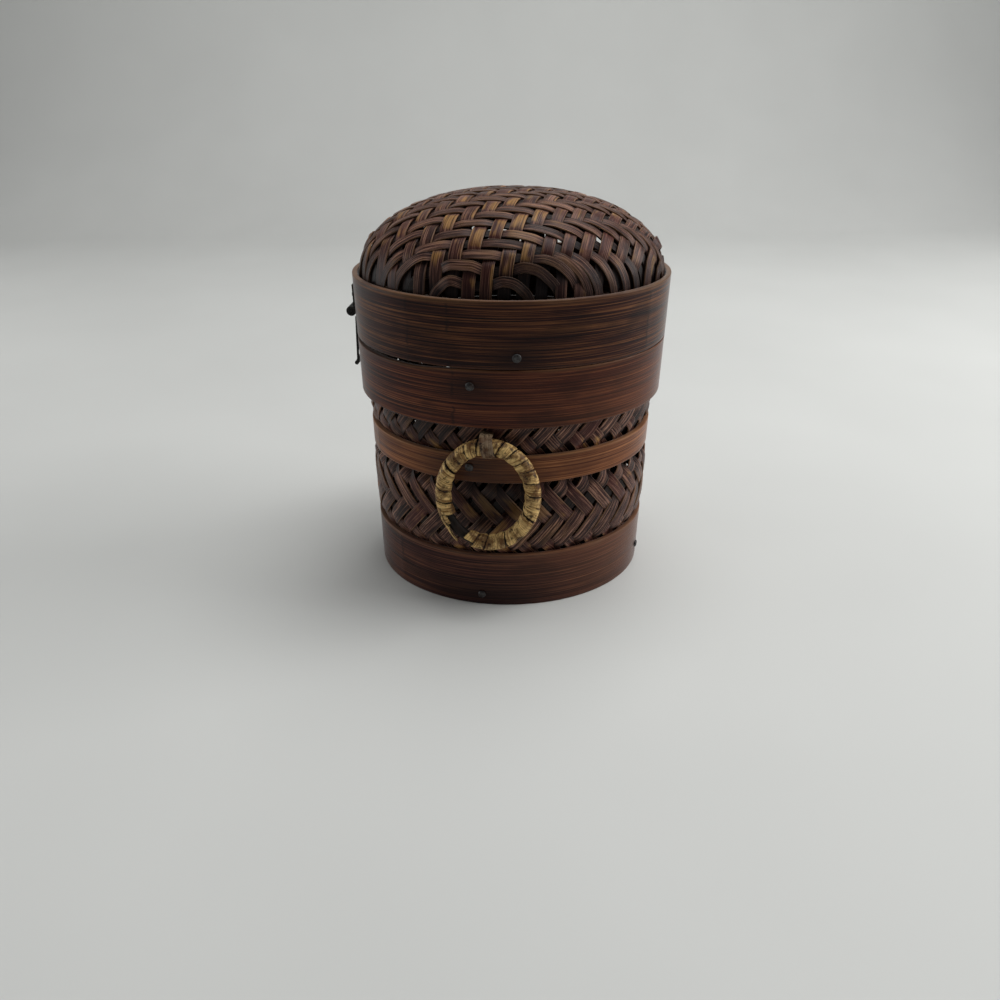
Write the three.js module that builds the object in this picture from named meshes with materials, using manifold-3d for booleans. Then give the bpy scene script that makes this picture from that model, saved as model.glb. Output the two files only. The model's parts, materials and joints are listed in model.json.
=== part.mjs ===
import * as THREE from "three";
import { mergeVertices } from "three/addons/utils/BufferGeometryUtils.js";
import Module from "manifold-3d";

// Oval wicker jewelry box with a woven dome lid. Millimetres, +Z up.
// The origin is on the surface it stands on, under the middle of the floor.
// The front ring faces -Y, the hinge is near the +X end and the hasp near the -X end.

// Outline: the outer face of the lid hoop, an oval, and the height up to the top of the dome
const HALF_LENGTH = 60;
const HALF_WIDTH = 49.1;
const OVERALL_HEIGHT = 153;
const OVAL_STEPS = 40;

// Clearance between pieces that touch, and running clearance round a hinge pin
const GAP = 0.3;
const PIN_GAP = 0.2;

// Points closer than this are one point, and the facets of round bars, pins and nails
const SAME_POINT = 1e-4;
const BAR_SIDES = 12;
const PIN_SIDES = 8;

// Thicknesses of the bent bands and of the woven cane
const HOOP_WALL = 2;
const INNER_WALL = 1.6;
const WEAVE_WALL = 2.2;
const FLOOR_WALL = 2.4;

// Heights of the bands and of the weave that shows between them, from the floor up
const BASE_HEIGHT = 24.3;
const LOWER_WEAVE = 32;
const MID_HEIGHT = 10.9;
const UPPER_WEAVE = 12.5;
const RIM_HEIGHT = 21.6;
const LID_HEIGHT = 23.2;
const BASE_INNER_HEIGHT = 12;
const RIM_INNER_HEIGHT = 14;
const LID_INNER_HEIGHT = 20;

// How far the outer faces lie inside the outline
const BASE_INSET = 2.5;
const MID_INSET = 2.8;
const SWELL_INSET = 2.2;
const SWELL_RUN = 4.8;

// The wall and the inner rim hoop stop short of the mouth, and the rim sags at the hasp end
const MOUTH_DROP = 4.3;
const WALL_FOOT = 0.5;
const RIM_SAG = 1.2;
const SAG_ANGLE = THREE.MathUtils.degToRad(195);
const SAG_SPREAD = THREE.MathUtils.degToRad(40);
const SAG_FADE = THREE.MathUtils.degToRad(22);

// Woven dome: its skirt runs down inside the lid hoop
const DOME_SPRING_DROP = 2.8;
const DOME_FULLNESS = 2.2;
const DOME_RINGS = 7;
const LID_INNER_DROP = 1;

// Weave: every strip runs over two strips of the other set and under the next two
const TWILL = 2;
const HOLLOW_DEPTH = 0.9;
const FLOAT_FLAT = 0.6;

// Bias strips round the wall: how many climb each way, where they cross, and their widths
const WALL_STRIPS = 36;
const CROSSING_HEIGHT = 20.3;
const CROSSING_SPACING = 5.6;
const RISING_WIDTH = 5.9;
const FALLING_WIDTH = 4.7;

// Strips over the dome: warps run from front to back, wefts from side to side and wider apart at the rim
const WARP_PITCH = 5.8;
const WARP_START = 4.6;
const WARP_WIDTH = 4.5;
const WARP_LEAN = THREE.MathUtils.degToRad(20);
const WEFT_PITCH = 3.7;
const WEFT_PITCH_GAIN = 0.035;
const WEFT_WIDTH = 3.4;
const WEFT_LEAN = THREE.MathUtils.degToRad(11);
const CROWN_STEPS = 60;

// Nails through the bands
const NAIL_HEAD_RADIUS = 1.6;
const NAIL_HEAD_HEIGHT = 0.7;
const NAIL_SHANK_RADIUS = 0.7;
const NAIL_POINT = 0.8;
const LID_NAIL_HEIGHT = 4.3;
const LID_NAIL_ANGLE = THREE.MathUtils.degToRad(269);
const RIM_NAIL_DEPTH = 5.9;
const RIM_NAIL_ANGLE = THREE.MathUtils.degToRad(256.3);
const MID_NAIL_HEIGHT = 6.2;
const MID_NAIL_ANGLE = THREE.MathUtils.degToRad(255);
const BASE_NAIL_HEIGHT = 5.2;
const BASE_NAIL_ANGLE = THREE.MathUtils.degToRad(258.5);
const BASE_END_NAIL_HEIGHT = 8.3;
const BASE_END_NAIL_ANGLE = THREE.MathUtils.degToRad(336);

// Hinge let into the joint between the lid and rim hoops
const HINGE_ANGLE = THREE.MathUtils.degToRad(8);
const HINGE_WIDTH = 10;
const HINGE_LEAF_HEIGHT = 6.5;
const HINGE_LEAF_WALL = 0.5;
const HINGE_LEAF_SETBACK = 0.8;
const HINGE_PIN_RADIUS = 0.5;
const HINGE_TACK_SPACING = 6.4;

// Hasp on the lid hoop
const HASP_ANGLE = THREE.MathUtils.degToRad(172);
const HASP_HEIGHT = 6.6;
const HASP_WIDTH = 9;
const HASP_CENTRE_KNUCKLE = 4;
const HASP_BARREL_RADIUS = 1.9;
const HASP_PIN_RADIUS = 0.8;
const HASP_WALL = 0.6;
const HASP_PLATE_HEIGHT = 8;
const HASP_TACK_SPACING = 5;
const FLAP_LENGTH = 22;
const FLAP_WIDTH = 7.4;
const FLAP_TILT = THREE.MathUtils.degToRad(3);
const FLAP_CURL_RADIUS = 0.8;
const CATCH_DROP = 17;
const CATCH_HEAD_RADIUS = 1.5;
const CATCH_HEAD_HEIGHT = 0.5;
const CATCH_EYE_RADIUS = 2.2;

// Small tacks that hold the hinge and the hasp
const TACK_HEAD_RADIUS = 0.9;
const TACK_HEAD_HEIGHT = 0.5;
const TACK_SHANK_RADIUS = 0.45;

// Carrying rings: a bent core with flat cane wound round it
const RING_ANGLE = THREE.MathUtils.degToRad(261.4);
const RING_STANDOFF = 1.5;
const RING_HALF_WIDTH = 16.5;
const RING_HALF_HEIGHT = 19;
const RING_TILT = THREE.MathUtils.degToRad(6);
const RING_CORE_RADIUS = 2;
const RING_CORE_STEPS = 22;
const RING_CORE_SIDES = 8;
const WRAP_WALL = 0.6;
const WRAP_TURNS = 20;
const WRAP_STEPS = 8;
const WRAP_COVER = 0.84;
const WRAP_BARE_ANGLE = THREE.MathUtils.degToRad(225);
const WRAP_BARE_SPREAD = THREE.MathUtils.degToRad(24);

// Cane loops that hold the rings to the wall
const LOOP_WIDTH = 4.6;
const LOOP_WALL = 1;
const LOOP_GAP = 0.4;

// Levels and places that follow from the sizes above
const MID_BOTTOM = BASE_HEIGHT + LOWER_WEAVE;
const MID_TOP = MID_BOTTOM + MID_HEIGHT;
const RIM_BOTTOM = MID_TOP + UPPER_WEAVE;
const RIM_TOP = RIM_BOTTOM + RIM_HEIGHT;
const LID_BOTTOM = RIM_TOP + GAP;
const LID_TOP = LID_BOTTOM + LID_HEIGHT;
const WALL_TOP = RIM_TOP - MOUTH_DROP;
const DOME_SPRING = LID_TOP - DOME_SPRING_DROP;
const DOME_RISE = OVERALL_HEIGHT - DOME_SPRING;
const LID_INNER_TOP = LID_TOP - LID_INNER_DROP;
const LID_INNER_BOTTOM = LID_INNER_TOP - LID_INNER_HEIGHT;
const RIM_WALL_INSET = HOOP_WALL + GAP;
const MID_WALL_INSET = MID_INSET + HOOP_WALL + GAP;
const BASE_WALL_INSET = BASE_INSET + HOOP_WALL + GAP;
const NAIL_REACH = HOOP_WALL + GAP + WEAVE_WALL + GAP + INNER_WALL;
const MID_NAIL_REACH = HOOP_WALL + GAP + WEAVE_WALL;
const RING_TUBE_RADIUS = RING_CORE_RADIUS + GAP + WRAP_WALL;
const RING_HEIGHT = MID_TOP + UPPER_WEAVE / 2;

const wasm = await Module();
wasm.setup();

// Finishes
const hoopFinish = { color: 0x4a2a1e, roughness: 0.5, metalness: 0 };
const paleHoopFinish = { color: 0x7a4a2c, roughness: 0.5, metalness: 0 };
const caneFinish = { color: 0x4b342b, roughness: 0.6, metalness: 0 };
const ringFinish = { color: 0xbfa066, roughness: 0.7, metalness: 0 };
const coreFinish = { color: 0x3a2a1c, roughness: 0.8, metalness: 0 };
const metalFinish = { color: 0x2b2a28, roughness: 0.45, metalness: 0.9 };

const box = new THREE.Group();

/** Adds a named piece to a frame of the box. */
function addPiece(parent, name, geometry, finish) {
  const mesh = new THREE.Mesh(geometry, new THREE.MeshStandardMaterial(finish));
  mesh.name = name;
  parent.add(mesh);
  return mesh;
}

/** Point whose outward normal has this angle, at an offset outside the oval outline. */
function ovalPoint(angle, offset) {
  const along = Math.cos(angle);
  const across = Math.sin(angle);
  const reach = Math.hypot(HALF_LENGTH * along, HALF_WIDTH * across);
  return new THREE.Vector2(
    (HALF_LENGTH ** 2 * along) / reach + offset * along,
    (HALF_WIDTH ** 2 * across) / reach + offset * across,
  );
}

/** Frame on the outline: X points out along the normal, Y along the outline, Z up. */
function outlineFrame(angle, offset, z) {
  const frame = new THREE.Group();
  const place = ovalPoint(angle, offset);
  frame.position.set(place.x, place.y, z);
  frame.rotation.z = angle;
  box.add(frame);
  frame.updateWorldMatrix(true, false);
  return frame;
}

/** Moves every point of a geometry in place. */
function movePoints(geometry, move) {
  const positions = geometry.attributes.position;
  const point = new THREE.Vector3();
  for (let i = 0; i < positions.count; i++) {
    point.fromBufferAttribute(positions, i);
    move(point);
    positions.setXYZ(i, point.x, point.y, point.z);
  }
  geometry.computeVertexNormals();
  return geometry;
}

/** Carries a closed profile of [offset, height] round the oval, outer side upwards first. */
function ovalBand(profile) {
  const points = profile.map(([offset, z]) => new THREE.Vector2(HALF_WIDTH + offset, z));
  const geometry = new THREE.LatheGeometry([...points, points[0]], OVAL_STEPS);
  geometry.rotateX(Math.PI / 2);
  return movePoints(geometry, (point) => {
    const place = ovalPoint(Math.atan2(point.y, point.x), Math.hypot(point.x, point.y) - HALF_WIDTH);
    point.setX(place.x).setY(place.y);
  });
}

/** Plain band of rectangular section, its outer face at an inset from the outline. */
function hoop(inset, wall, bottom, top) {
  return ovalBand([
    [-inset, bottom],
    [-inset, top],
    [-inset - wall, top],
    [-inset - wall, bottom],
  ]);
}

/** Box between two corners. */
function block(low, high) {
  const geometry = new THREE.BoxGeometry(high[0] - low[0], high[1] - low[1], high[2] - low[2]);
  const middle = low.map((value, i) => (value + high[i]) / 2);
  return geometry.translate(...middle);
}

/** Round bar along Y between two ends. */
function bar(radius, from, to, sides = BAR_SIDES) {
  return new THREE.CylinderGeometry(radius, radius, to - from, sides).translate(0, (from + to) / 2, 0);
}

/** Round hole along X, through whatever lies within the reach. */
function holeAlongX(radius, reach, sides = PIN_SIDES) {
  return new THREE.CylinderGeometry(radius, radius, 2 * reach, sides).rotateZ(Math.PI / 2);
}

/** Closed solid of a geometry, for joins and cuts. */
function toSolid(geometry) {
  const bare = geometry.clone();
  for (const name of ["normal", "uv"]) {
    bare.deleteAttribute(name);
  }
  const merged = mergeVertices(bare, SAME_POINT);
  const corners = merged.index.array;
  const faces = [];
  for (let i = 0; i < corners.length; i += 3) {
    const [a, b, c] = [corners[i], corners[i + 1], corners[i + 2]];
    if (a !== b && b !== c && c !== a) {
      faces.push(a, b, c);
    }
  }
  const vertProperties = Float32Array.from(merged.attributes.position.array);
  return new wasm.Manifold(new wasm.Mesh({ numProp: 3, vertProperties, triVerts: Uint32Array.from(faces) }));
}

/** Geometry of a solid. */
function fromSolid(solid) {
  const mesh = solid.getMesh();
  const geometry = new THREE.BufferGeometry();
  geometry.setAttribute("position", new THREE.Float32BufferAttribute(mesh.vertProperties, 3));
  geometry.setIndex([...mesh.triVerts]);
  geometry.computeVertexNormals();
  return geometry;
}

/** Joins overlapping geometries into one. */
function join(...geometries) {
  return fromSolid(geometries.map(toSolid).reduce((whole, part) => whole.add(part)));
}

/** Cuts geometries out of a geometry. */
function cut(geometry, cutters) {
  return fromSolid(cutters.map(toSolid).reduce((whole, part) => whole.subtract(part), toSolid(geometry)));
}

/** Copy of a geometry, carried from a frame into the box. */
function inBox(frame, geometry) {
  return geometry.clone().applyMatrix4(frame.matrixWorld);
}

/** Nail along X: its head sits just outside x = 0 and its shank runs inwards. */
function nail(headRadius, headHeight, shankRadius, reach) {
  const profile = [
    [0, -reach],
    [shankRadius, NAIL_POINT - reach],
    [shankRadius, GAP],
    [headRadius, GAP],
    [headRadius, GAP + headHeight / 2],
    [headRadius / 2, GAP + headHeight],
    [0, GAP + headHeight],
  ];
  const points = profile.map(([radius, height]) => new THREE.Vector2(radius, height));
  return new THREE.LatheGeometry(points, PIN_SIDES).rotateZ(-Math.PI / 2);
}

/** Adds a nail through a band and returns the hole that it needs. */
function bandNail(name, angle, inset, z, reach) {
  const frame = outlineFrame(angle, -inset, z);
  const geometry = nail(NAIL_HEAD_RADIUS, NAIL_HEAD_HEIGHT, NAIL_SHANK_RADIUS, reach);
  addPiece(frame, name, geometry, metalFinish);
  return inBox(frame, holeAlongX(NAIL_SHANK_RADIUS + GAP, NAIL_REACH + NAIL_HEAD_HEIGHT));
}

/** Adds a tack through a metal leaf whose outer face is at x, and returns its hole. */
function leafTack(frame, name, x, y, z, reach) {
  const geometry = nail(TACK_HEAD_RADIUS, TACK_HEAD_HEIGHT, TACK_SHANK_RADIUS, reach);
  addPiece(frame, name, geometry.translate(x, y, z), metalFinish);
  return holeAlongX(TACK_SHANK_RADIUS + PIN_GAP, reach + TACK_HEAD_HEIGHT).translate(x, y, z);
}

// Nails through the bands, front and back, and two more at the ends of the base
const HALF_TURN = Math.PI;
const baseHoles = [];
const midHoles = [];
const rimHoles = [];
const lidHoles = [];
for (const [side, turn] of [["front", 0], ["back", HALF_TURN]]) {
  const baseAngle = BASE_NAIL_ANGLE + turn;
  baseHoles.push(bandNail(`base_nail_${side}`, baseAngle, BASE_INSET, BASE_NAIL_HEIGHT, NAIL_REACH));
  const midLevel = MID_BOTTOM + MID_NAIL_HEIGHT;
  midHoles.push(bandNail(`mid_nail_${side}`, MID_NAIL_ANGLE + turn, MID_INSET, midLevel, MID_NAIL_REACH));
  const rimLevel = RIM_TOP - RIM_NAIL_DEPTH;
  rimHoles.push(bandNail(`rim_nail_${side}`, RIM_NAIL_ANGLE + turn, 0, rimLevel, NAIL_REACH));
  const lidLevel = LID_BOTTOM + LID_NAIL_HEIGHT;
  lidHoles.push(bandNail(`lid_nail_${side}`, LID_NAIL_ANGLE + turn, 0, lidLevel, NAIL_REACH));
}
for (const [end, turn] of [["right", 0], ["left", HALF_TURN]]) {
  const angle = BASE_END_NAIL_ANGLE + turn;
  baseHoles.push(bandNail(`base_nail_${end}`, angle, BASE_INSET, BASE_END_NAIL_HEIGHT, NAIL_REACH));
}

// Hinge: the axis lies on the chord of its notch, so no edge of the hoops reaches past it
const endRadius = HALF_WIDTH ** 2 / HALF_LENGTH;
const notchHalf = HINGE_WIDTH / 2 + 2 * GAP;
const hingeSink = notchHalf ** 2 / (2 * endRadius);
const hingeBarrel = hingeSink + GAP + HINGE_LEAF_WALL;
const hingeBore = HINGE_PIN_RADIUS + PIN_GAP;
const leafStart = hingeBarrel + HINGE_LEAF_SETBACK;
const leafEnd = leafStart + HINGE_LEAF_HEIGHT;
const leafInner = hingeSink + GAP;
const knuckle = (HINGE_WIDTH - 2 * GAP) / 3;
const hingeFrame = outlineFrame(HINGE_ANGLE, -hingeSink, (RIM_TOP + LID_BOTTOM) / 2);
const notchReach = hingeBarrel + GAP;
const hingeNotch = inBox(
  hingeFrame,
  block([-HOOP_WALL - GAP, -notchHalf, -notchReach], [notchReach, notchHalf, notchReach]),
);

/** Hinge leaf with its knuckles, on the upper (side 1) or lower (side -1) hoop. */
function hingeLeaf(name, side, spans) {
  const levels = [side * leafStart, side * leafEnd].sort((a, b) => a - b);
  const tabs = [0, side * (leafStart + HINGE_LEAF_WALL)].sort((a, b) => a - b);
  const half = HINGE_WIDTH / 2;
  const plate = block([leafInner, -half, levels[0]], [hingeBarrel, half, levels[1]]);
  const knuckles = spans.flatMap(([from, to]) => [
    bar(hingeBarrel, from, to),
    block([leafInner, from, tabs[0]], [hingeBarrel, to, tabs[1]]),
  ]);
  const middle = (side * (leafStart + leafEnd)) / 2;
  const reach = HINGE_LEAF_WALL + GAP + HOOP_WALL;
  const holes = [-1, 1].map((end) => {
    const tack = `${name}_tack_${end < 0 ? "front" : "back"}`;
    return leafTack(hingeFrame, tack, hingeBarrel, (end * HINGE_TACK_SPACING) / 2, middle, reach);
  });
  const bore = bar(hingeBore, -HINGE_WIDTH, HINGE_WIDTH);
  addPiece(hingeFrame, name, cut(join(plate, ...knuckles), [bore, ...holes]), metalFinish);
  return holes.map((hole) => inBox(hingeFrame, hole));
}

const halfHinge = HINGE_WIDTH / 2;
const lidLeafHoles = hingeLeaf("hinge_leaf_lid", 1, [[-knuckle / 2, knuckle / 2]]);
const bodyLeafHoles = hingeLeaf("hinge_leaf_body", -1, [
  [-halfHinge, -halfHinge + knuckle],
  [halfHinge - knuckle, halfHinge],
]);
addPiece(hingeFrame, "hinge_pin", bar(HINGE_PIN_RADIUS, -halfHinge, halfHinge, PIN_SIDES), metalFinish);

// Hasp: a plate with two knuckles on the lid hoop, a pin, and a flap that hangs over the joint
const haspFrame = outlineFrame(HASP_ANGLE, GAP + HASP_BARREL_RADIUS, LID_BOTTOM + HASP_HEIGHT);
const haspBore = HASP_PIN_RADIUS + PIN_GAP;
const haspHalf = HASP_WIDTH / 2;
const flapKnuckleHalf = HASP_CENTRE_KNUCKLE / 2;
const haspInner = -HASP_BARREL_RADIUS;
const haspOuter = haspInner + HASP_WALL;
const haspSetback = HASP_BARREL_RADIUS + GAP;
const plateTop = haspSetback + HASP_PLATE_HEIGHT;
const plateKnuckles = [-1, 1].flatMap((end) => {
  const span = [end * haspHalf, end * (flapKnuckleHalf + GAP)].sort((a, b) => a - b);
  return [
    bar(HASP_BARREL_RADIUS, span[0], span[1]),
    block([haspInner, span[0], 0], [haspOuter, span[1], haspSetback + HASP_WALL]),
  ];
});
const haspPlate = block([haspInner, -haspHalf, haspSetback], [haspOuter, haspHalf, plateTop]);
const haspHoles = [-1, 1].map((end) => {
  const name = `hasp_tack_${end < 0 ? "back" : "front"}`;
  const y = (end * HASP_TACK_SPACING) / 2;
  const reach = HASP_WALL + GAP + HOOP_WALL;
  return leafTack(haspFrame, name, haspOuter, y, (haspSetback + plateTop) / 2, reach);
});
const haspBoreBar = bar(haspBore, -HASP_WIDTH, HASP_WIDTH);
const plateSolid = cut(join(haspPlate, ...plateKnuckles), [haspBoreBar, ...haspHoles]);
addPiece(haspFrame, "hasp_plate", plateSolid, metalFinish);
addPiece(haspFrame, "hasp_pin", bar(HASP_PIN_RADIUS, -haspHalf, haspHalf, PIN_SIDES), metalFinish);

const flapFrame = new THREE.Group();
flapFrame.rotation.y = -FLAP_TILT;
haspFrame.add(flapFrame);
const flapHalf = FLAP_WIDTH / 2;
const flapTip = FLAP_CURL_RADIUS - FLAP_LENGTH;
const flapCurl = bar(FLAP_CURL_RADIUS, -flapHalf, flapHalf);
const flapBody = join(
  bar(HASP_BARREL_RADIUS, -flapKnuckleHalf, flapKnuckleHalf),
  block([haspInner, -flapKnuckleHalf, -haspSetback - HASP_WALL], [haspOuter, flapKnuckleHalf, 0]),
  block([haspInner, -flapHalf, flapTip], [haspOuter, flapHalf, -haspSetback]),
  flapCurl.translate(haspInner + FLAP_CURL_RADIUS, 0, flapTip),
);
const catchEye = holeAlongX(CATCH_EYE_RADIUS, HASP_BARREL_RADIUS, BAR_SIDES);
catchEye.translate(haspInner, 0, -CATCH_DROP);
addPiece(flapFrame, "hasp_flap", cut(flapBody, [haspBoreBar, catchEye]), metalFinish);

// Low stud on the rim, behind the eye of the flap
const catchFrame = outlineFrame(HASP_ANGLE, 0, LID_BOTTOM + HASP_HEIGHT - CATCH_DROP);
const catchStud = nail(CATCH_HEAD_RADIUS, CATCH_HEAD_HEIGHT, NAIL_SHANK_RADIUS, HOOP_WALL);
addPiece(catchFrame, "catch_stud", catchStud, metalFinish);
const catchHole = inBox(catchFrame, holeAlongX(NAIL_SHANK_RADIUS + GAP, HOOP_WALL + GAP));

/** Point on a ring's tube: ring angle from its right side, tube angle from outwards, tube radius. */
function ringPoint(ringAngle, tubeAngle, radius) {
  const across = Math.cos(ringAngle);
  const up = Math.sin(ringAngle);
  const normal = new THREE.Vector2(across / RING_HALF_WIDTH, up / RING_HALF_HEIGHT).normalize();
  const spread = radius * Math.cos(tubeAngle);
  return new THREE.Vector3(
    radius * Math.sin(tubeAngle),
    RING_HALF_WIDTH * across + spread * normal.x,
    RING_HALF_HEIGHT * (up - 1) + spread * normal.y,
  );
}

/** Bent core of a ring. */
function ringCore() {
  const torus = new THREE.TorusGeometry(RING_HALF_WIDTH, RING_CORE_RADIUS, RING_CORE_SIDES, RING_CORE_STEPS);
  return movePoints(torus, (point) => {
    const spread = Math.hypot(point.x, point.y) - RING_HALF_WIDTH;
    const ringAngle = Math.atan2(point.y, point.x);
    point.copy(ringPoint(ringAngle, Math.atan2(point.z, spread), Math.hypot(point.z, spread)));
  });
}

/** Corners of the flat cane at each step of its winding. */
function wrapSections() {
  const start = WRAP_BARE_ANGLE + WRAP_BARE_SPREAD / 2;
  const run = 2 * Math.PI - WRAP_BARE_SPREAD;
  const steps = WRAP_TURNS * WRAP_STEPS;
  const pitch = run / (WRAP_TURNS + WRAP_COVER);
  const halfStrip = (WRAP_COVER * pitch) / 2;
  const inner = RING_CORE_RADIUS + GAP;
  const sections = [];
  for (let step = 0; step <= steps; step++) {
    const middle = start + halfStrip + (pitch * step) / WRAP_STEPS;
    const turn = (2 * Math.PI * step) / WRAP_STEPS;
    sections.push([
      ringPoint(middle - halfStrip, turn, inner),
      ringPoint(middle + halfStrip, turn, inner),
      ringPoint(middle + halfStrip, turn, inner + WRAP_WALL),
      ringPoint(middle - halfStrip, turn, inner + WRAP_WALL),
    ]);
  }
  return sections;
}

/** Least distance between corners that lie more than half a turn apart along the winding. */
function leastGap(sections) {
  let least = Infinity;
  sections.forEach((section, i) => {
    for (const later of sections.slice(i + WRAP_STEPS / 2)) {
      for (const corner of section) {
        for (const other of later) {
          least = Math.min(least, corner.distanceTo(other));
        }
      }
    }
  });
  return least;
}

/** One unbroken strip through all sections, closed at both ends. */
function strip(sections) {
  const sides = sections[0].length;
  const faces = [];
  const quad = (a, b, c, d) => faces.push(c, b, a, d, c, a);
  for (let step = 0; step + 1 < sections.length; step++) {
    for (let side = 0; side < sides; side++) {
      const next = (side + 1) % sides;
      const here = step * sides;
      const ahead = here + sides;
      quad(here + side, here + next, ahead + next, ahead + side);
    }
  }
  const [a, b, c, d] = sections[0].keys();
  const last = (sections.length - 1) * sides;
  quad(d, c, b, a);
  quad(last + a, last + b, last + c, last + d);
  const geometry = new THREE.BufferGeometry().setFromPoints(sections.flat());
  geometry.setIndex(faces);
  geometry.computeVertexNormals();
  return geometry;
}

/** Outline of a ring's cane loop, round the ring's tube and back behind the wall. */
function loopOutline(path, radius, back) {
  path.moveTo(back, -radius);
  path.lineTo(0, -radius);
  path.absarc(0, 0, radius, -Math.PI / 2, Math.PI / 2, false);
  path.lineTo(back, radius);
  path.closePath();
  return path;
}

// Carrying rings in their loops, front and back
const windingSections = wrapSections();
console.log(`ring winding: least gap to itself ${leastGap(windingSections).toFixed(2)} mm`);
const loopInner = RING_TUBE_RADIUS + LOOP_GAP;
const loopOuter = loopInner + LOOP_WALL;
const loopBack = -(RING_STANDOFF + MID_WALL_INSET + WEAVE_WALL + GAP);
const loopSlots = [];
for (const [side, turn] of [["front", 0], ["back", HALF_TURN]]) {
  const frame = outlineFrame(RING_ANGLE + turn, RING_STANDOFF, RING_HEIGHT);
  const shape = loopOutline(new THREE.Shape(), loopOuter, loopBack - LOOP_WALL);
  shape.holes.push(loopOutline(new THREE.Path(), loopInner, loopBack));
  const width = { depth: LOOP_WIDTH, bevelEnabled: false, curveSegments: BAR_SIDES };
  const loop = new THREE.ExtrudeGeometry(shape, width).translate(0, 0, -LOOP_WIDTH / 2);
  addPiece(frame, `ring_loop_${side}`, loop.rotateX(Math.PI / 2), ringFinish);
  const swing = new THREE.Group();
  swing.rotation.y = -RING_TILT;
  frame.add(swing);
  addPiece(swing, `ring_core_${side}`, ringCore(), coreFinish);
  addPiece(swing, `ring_wrap_${side}`, strip(windingSections), ringFinish);
  for (const end of [-1, 1]) {
    const levels = [end * (loopInner - GAP), end * (loopOuter + GAP)].sort((a, b) => a - b);
    const half = LOOP_WIDTH / 2 + GAP;
    loopSlots.push(inBox(frame, block([loopBack - LOOP_WALL, -half, levels[0]], [0, half, levels[1]])));
  }
}

// Woven wall: drawn in behind each hoop and swelling out between them
const wallFace = [
  [-BASE_WALL_INSET, WALL_FOOT],
  [-BASE_WALL_INSET, BASE_HEIGHT + GAP],
  [-SWELL_INSET, BASE_HEIGHT + SWELL_RUN],
  [-SWELL_INSET, MID_BOTTOM - SWELL_RUN],
  [-MID_WALL_INSET, MID_BOTTOM - GAP],
  [-MID_WALL_INSET, MID_TOP + GAP],
  [-SWELL_INSET - GAP, MID_TOP + SWELL_RUN],
  [-RIM_WALL_INSET, RIM_BOTTOM - GAP],
  [-RIM_WALL_INSET, WALL_TOP],
];

/** Offset of the wall's outer face at a height. */
function wallOffset(z) {
  const next = wallFace.findIndex(([, level]) => level >= z);
  if (next < 1) {
    return wallFace.at(next)[0];
  }
  const [[below, low], [above, high]] = [wallFace[next - 1], wallFace[next]];
  return THREE.MathUtils.mapLinear(z, low, high, below, above);
}

/** Faces of one float: a flat pad whose rim lies in the hollows of the weave. */
function floatFaces(middle, along, across, cover, place) {
  const at = (lengthwise, sideways, depth) => {
    const spot = middle.clone().addScaledVector(along, lengthwise).addScaledVector(across, sideways);
    return place(spot, depth);
  };
  const [a, b, c, d, e, f] = [[-1, -1], [-1, 1], [0, 1], [1, 1], [1, -1], [0, -1]].map(
    ([lengthwise, sideways]) => at(lengthwise, sideways, HOLLOW_DEPTH),
  );
  const [p, q, r, s] = [[-1, -1], [-1, 1], [1, 1], [1, -1]].map(
    ([lengthwise, sideways]) => at(lengthwise * FLOAT_FLAT, sideways * cover, 0),
  );
  return [
    [p, q, r],
    [p, r, s],
    [a, b, q],
    [a, q, p],
    [b, c, q],
    [c, r, q],
    [c, d, r],
    [d, e, s],
    [d, s, r],
    [e, f, s],
    [f, p, s],
    [f, a, p],
  ];
}

/** Closed solid under an open patch of faces: each open edge is joined to one point inside. */
function solidUnder(faces, inside) {
  const key = (point) => point.toArray().map((value) => Math.round(value / SAME_POINT)).join();
  const open = new Map();
  for (const face of faces) {
    face.forEach((from, i) => {
      const to = face[(i + 1) % face.length];
      if (!open.delete(`${key(to)} ${key(from)}`)) {
        open.set(`${key(from)} ${key(to)}`, [to, from, inside]);
      }
    });
  }
  return toSolid(new THREE.BufferGeometry().setFromPoints([...faces, ...open.values()].flat()));
}

const outline = new THREE.EllipseCurve(0, 0, HALF_LENGTH, HALF_WIDTH);
const stripPitch = outline.getLength() / WALL_STRIPS;
const rowHeight = TWILL * CROSSING_SPACING;
const stripSpace = (rowHeight * stripPitch) / Math.hypot(rowHeight, stripPitch);

/** Point of the wall's weave, by strips round the oval and crossings up the wall. */
function wallPoint(spot, depth) {
  const share = THREE.MathUtils.euclideanModulo(spot.x / WALL_STRIPS, 1);
  const foot = outline.getPointAt(share);
  const angle = Math.atan2(foot.y * HALF_LENGTH ** 2, foot.x * HALF_WIDTH ** 2);
  const z = CROSSING_HEIGHT + CROSSING_SPACING * spot.y;
  const place = ovalPoint(angle, wallOffset(z) - depth);
  return new THREE.Vector3(place.x, place.y, z);
}

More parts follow.
